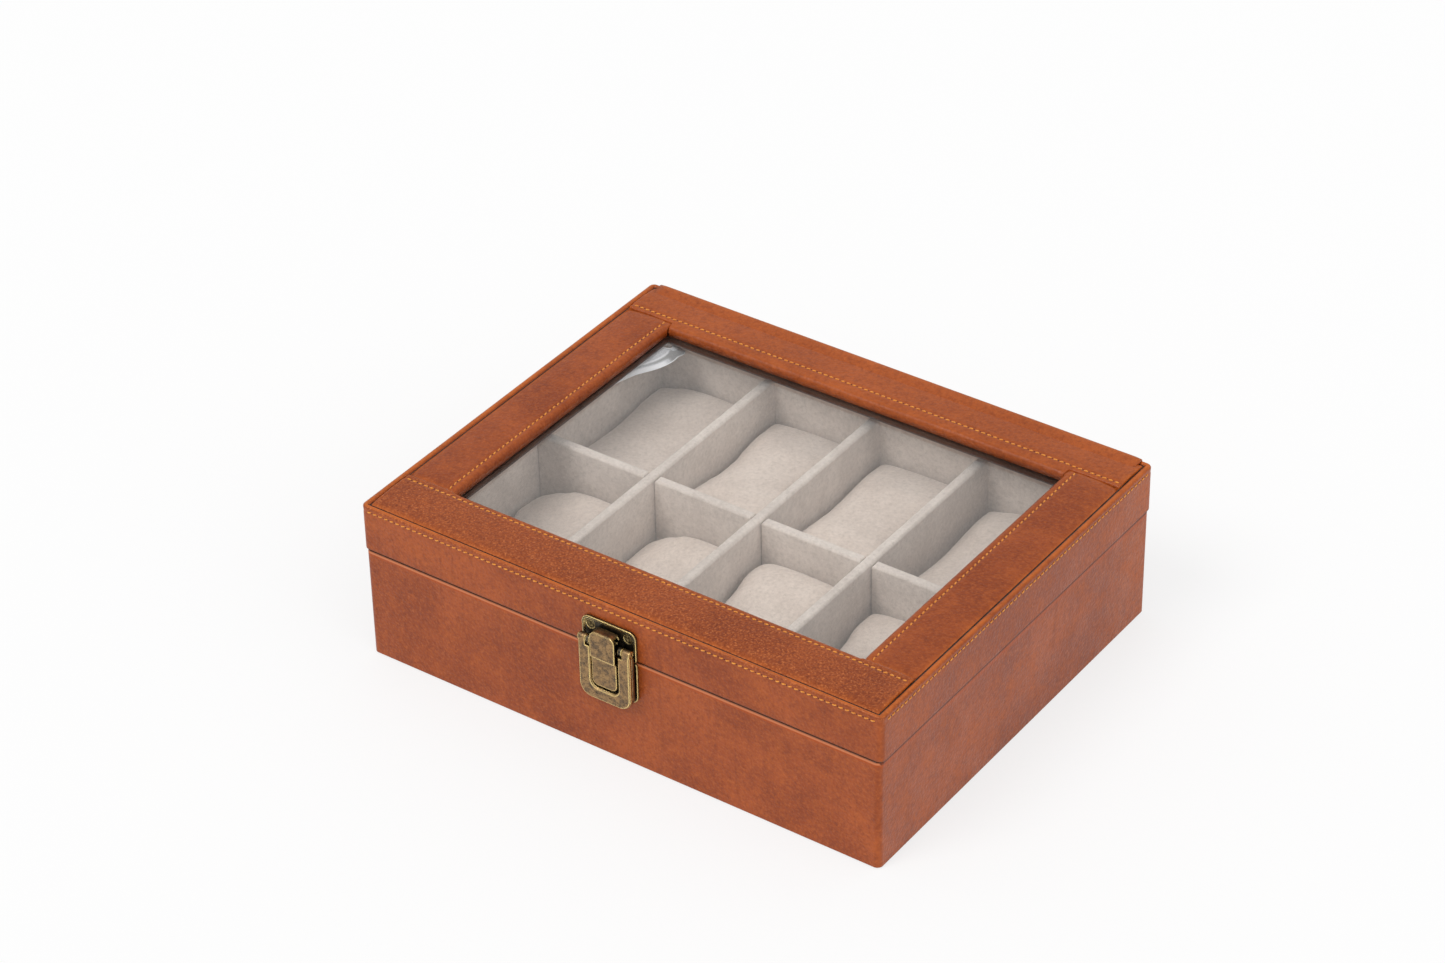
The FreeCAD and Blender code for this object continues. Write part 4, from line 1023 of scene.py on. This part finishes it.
def cushions():
    """Soft pads in place of the CAD cushions, kept inside their boxes' sides."""
    names = sorted(CUSHION_FORMS)
    pads = {name: soft_copy(name, cushion_shape(name)) for name in names}
    for pad in pads.values():
        remesh(pad, CUSHION_VOXEL)
    swell(list(pads.values()))
    for name, pad in pads.items():
        low, high = [Vector(corner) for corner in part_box(name)]
        for vertex in pad.data.vertices:
            vertex.co.x = min(max(vertex.co.x, low.x), high.x)
            vertex.co.y = min(max(vertex.co.y, low.y), high.y)
            vertex.co.z = max(vertex.co.z, CUSHION_BED * MM)
        finished(pad.data, CUSHION_LOOK)
        smooth = pad.modifiers.new("smooth", "SUBSURF")
        smooth.levels = 1
        smooth.render_levels = 1
        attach(pad, name)
        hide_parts(name)


def smooth_route(route, steps):
    """Points on a curve through the route, Catmull-Rom style."""
    spots = [Vector((*spot, 0)) for spot in route]
    spots = [spots[0] * 2 - spots[1]] + spots + [spots[-1] * 2 - spots[-2]]
    made = []
    for index in range(1, len(spots) - 2):
        before, start, end, after = spots[index - 1:index + 3]
        for step in range(steps):
            t = step / steps
            made.append(0.5 * (2 * start + (end - before) * t
                               + (2 * before - 5 * start + 4 * end - after) * t * t
                               + (3 * start - before - 3 * end + after) * t ** 3))
    made.append(spots[-2])
    return made


def ribbon_gleam(done, share):
    """Painted light on the satin: a painted highlight low down, on the edges and along the crease rising to
    the tip, and painted shade inside the loop.
    """
    if share < SELVEDGE or share > 1 - SELVEDGE:
        return SELVEDGE_GLEAM
    crease = CREASE_START + CREASE_CLIMB * done
    line = math.exp(-((share - crease) / CREASE_HALF) ** 2) * (1 - eased(done, 0.52, 0.60))
    bright = (1 - eased(share, 0.20, 0.34)) * (1 - eased(done, 0.40, 0.50))
    below = 1 - eased(share, crease - 0.03, crease + 0.03)
    loop_shade = below * (1 - bright) * eased(done, 0.12, 0.42)
    return max(line, bright) * 0.95 + 0.25 * (1 - below) * (1 - line) - 0.8 * loop_shade * (1 - line)


def heading(spots, index):
    """The direction of a line of spots at one of them."""
    return (spots[min(index + 1, len(spots) - 1)] - spots[max(index - 1, 0)]).normalized()


def ribbon_points(route):
    """The ribbon's points and their painted shine, in rows across its route."""
    points = []
    gleam = []
    half = (RIBBON_TOP - RIBBON_LOW) / 2
    for index, spot in enumerate(route):
        done = index / (len(route) - 1)
        tip = math.sin(math.pi * done)
        shift = -NEAR_SHIFT * eased(done, 0.0, 0.25) * (1 - eased(done, 0.55, 0.72))
        shift += FAR_SHIFT * eased(done, 0.62, 0.75) * (1 - eased(done, 0.9, 1.0))
        lift = RIBBON_LIFT * tip * (1 - TIP_SINK * eased(done, 0.58, 0.75))
        lean = math.radians(mixed(*RIBBON_LEAN, tip))
        ahead = heading(route, index)
        side = Vector((ahead.y, -ahead.x, 0))
        for row in range(RIBBON_ROWS):
            share = row / (RIBBON_ROWS - 1)
            reach = half * (1 - 2 * share)
            bow = shift + RIBBON_CUP * math.sin(math.pi * share) + reach * math.sin(lean)
            height = (RIBBON_LOW + RIBBON_TOP) / 2 + lift - reach * math.cos(lean)
            points.append(spot + side * bow + Vector((0, 0, height)))
            gleam.append(ribbon_gleam(done, share))
    return points, gleam


def ribbon():
    """The stay ribbon as a standing loop of thin sheet, between the base and the lid."""
    route = smooth_route(RIBBON_ROUTE, RIBBON_STEPS)
    points, gleam = ribbon_points(route)
    faces = []
    for index in range(len(route) - 1):
        for row in range(RIBBON_ROWS - 1):
            here = index * RIBBON_ROWS + row
            faces.append((here, here + 1, here + RIBBON_ROWS + 1, here + RIBBON_ROWS))
    mesh = bpy.data.meshes.new("ribbon_loop")
    mesh.from_pydata([point * MM for point in points], [], faces)
    finished(mesh, SATIN_LOOK, gleam)
    piece = linked("ribbon_loop", mesh)
    thick = piece.modifiers.new("thick", "SOLIDIFY")
    thick.thickness = RIBBON_SHEET * MM
    thick.offset = 0
    apply_modifiers(piece)
    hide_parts("stay_ribbon")
    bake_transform(piece)


def islands(name):
    """The boxes of a CAD node's separate solids, in mm."""
    shape = bmesh.new()
    shape.from_mesh(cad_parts[name].data)
    bmesh.ops.remove_doubles(shape, verts=shape.verts, dist=1e-6)
    left = set(shape.verts)
    boxes = []
    while left:
        todo = [left.pop()]
        found = []
        while todo:
            vertex = todo.pop()
            found.append(vertex.co.copy())
            for edge in vertex.link_edges:
                other = edge.other_vert(vertex)
                if other in left:
                    left.discard(other)
                    todo.append(other)
        low = Vector([min(spot[axis] for spot in found) for axis in range(3)]) / MM
        high = Vector([max(spot[axis] for spot in found) for axis in range(3)]) / MM
        boxes.append((low, high))
    shape.free()
    return sorted(boxes, key=lambda pair: tuple(pair[0]))


def screw_points(box, facing, turn):
    """A countersunk screw with a crossed recess; facing is the sign of Y that its head looks to."""
    low, high = box
    radius = (high.x - low.x) / 2
    middle = Vector(((low.x + high.x) / 2, high.y if facing > 0 else low.y, (low.z + high.z) / 2))
    length = high.y - low.y
    slot = SLOT_HALF * radius
    angles = [2 * math.pi * side / SCREW_SIDES for side in range(SCREW_SIDES)]
    shank = [(radius * 0.98, 0.12), (radius * 0.46, 1.3),
             (radius * 0.42, length - 1.6), (radius * 0.08, length)]

    def spot(reach, angle, depth):
        return middle + Vector((reach * math.cos(angle), -facing * depth, reach * math.sin(angle)))

    points = []
    for ring in range(1, SCREW_RINGS + 1):
        reach = radius * (ring / SCREW_RINGS)
        for angle in angles:
            across = min(abs(math.sin(angle + turn)), abs(math.cos(angle + turn))) * reach
            inside = eased(slot * 1.25 - across, 0, slot * 0.5)
            inside *= eased(radius * SLOT_REACH - reach, 0, 0.12 * radius)
            points.append(spot(reach, angle, SLOT_DEPTH * inside + HEAD_DISH * (reach / radius) ** 2))
    for reach, depth in shank:
        points += [spot(reach, angle, depth) for angle in angles]
    return points, grid_faces(SCREW_RINGS + len(shank), SCREW_SIDES)


def screws():
    """Screws with crossed slots in place of the CAD's plain ones, each turned its own way."""
    groups = (("strike_screws", "lid", -1), ("latch_plate_screws", "base", -1),
              ("hinge_base_screws", "base", 1), ("hinge_lid_screws", "lid", 1))
    for name, body, facing in groups:
        parts = []
        for number, box in enumerate(islands(name)):
            parts.append(screw_points(box, facing, SCREW_TURN + SCREW_TURN_STEP * number))
        points, faces = gathered(parts)
        piece = mesh_piece(name + "_cross", points, faces, SCREW_LOOK, body)
        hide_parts(name)


def lever_skirt():
    """The lever's sides, bent back from its face round the outside: a folded sheet, as the photo shows."""
    spots = []
    for side in (-1, 1):
        centre = Vector((LATCH_MIDDLE + side * (LEVER_HALF - LEVER_ROUND), 0, LEVER_LOW + LEVER_ROUND))
        arm = [Vector((LATCH_MIDDLE + side * LEVER_HALF, 0, SKIRT_HIGH))]
        for step in range(LEVER_TURNS + 1):
            turn = math.radians(90 * step / LEVER_TURNS)
            reach = side * LEVER_ROUND * math.cos(turn)
            arm.append(centre + Vector((reach, 0, -LEVER_ROUND * math.sin(turn))))
        spots += arm if side < 0 else arm[::-1]
    points = []
    for index, spot in enumerate(spots):
        ahead = heading(spots, index)
        inward = Vector((-ahead.z, 0, ahead.x))
        for depth, out in SKIRT_PROFILE:
            points.append(spot + inward * depth + Vector((0, -CASE_FRONT - out, 0)))
    faces = grid_faces(len(spots), len(SKIRT_PROFILE))
    mesh_piece("latch_lever_skirt", points, faces, BRASS_LOOK, "latch_lever")


def paper_floor():
    mesh = bpy.data.meshes.new("floor")
    corners = [(-1, -1), (1, -1), (1, 1), (-1, 1)]
    mesh.from_pydata([(FLOOR_REACH * x, FLOOR_REACH * y, 0) for x, y in corners], [], [(0, 1, 2, 3)])
    mesh.materials.append(floor_material())
    floor = linked("floor", mesh)


def room_light(scene):
    """White all round, dimmer as a light than it looks, and two broad lamps."""
    world = bpy.data.worlds.new("studio")
    world.use_nodes = True
    scene.world = world
    tree = world.node_tree
    shown = tree.nodes["Background"]
    shown.inputs["Color"].default_value = WHITE
    lit = node(tree, "Background", {"Color": WHITE, "Strength": WORLD_LIGHT})
    show_both(tree, seen_share(tree, False), lit, shown, "World Output")
    for name, strength, angle, turn in LAMPS:
        lamp = bpy.data.lights.new(name, "SUN")
        lamp.energy = strength
        lamp.angle = math.radians(angle)
        linked(name, lamp).rotation_euler = Euler([math.radians(value) for value in turn])


def place_camera(scene):
    """The camera, where the photographer stood."""
    eye = bpy.data.cameras.new("camera")
    eye.lens = CAMERA_LENS
    eye.sensor_width = CAMERA_SENSOR
    eye.sensor_fit = "HORIZONTAL"
    eye.clip_end = CAMERA_FAR
    camera = linked("camera", eye)
    turn = Matrix.Identity(4)
    for angle, axis in CAMERA_TURNS:
        turn = turn @ Matrix.Rotation(math.radians(angle), 4, axis)
    camera.matrix_world = Matrix.Translation(CAMERA_PLACE) @ turn
    scene.camera = camera


def studio():
    """Pale floor, soft light from all round, and the camera."""
    scene = bpy.context.scene
    scene.view_settings.view_transform = "Standard"
    paper_floor()
    room_light(scene)
    place_camera(scene)


sewn_panels()
lid_band()
back_hide()
band_stitches()
cushions()
ribbon()
screws()
lever_skirt()
studio()
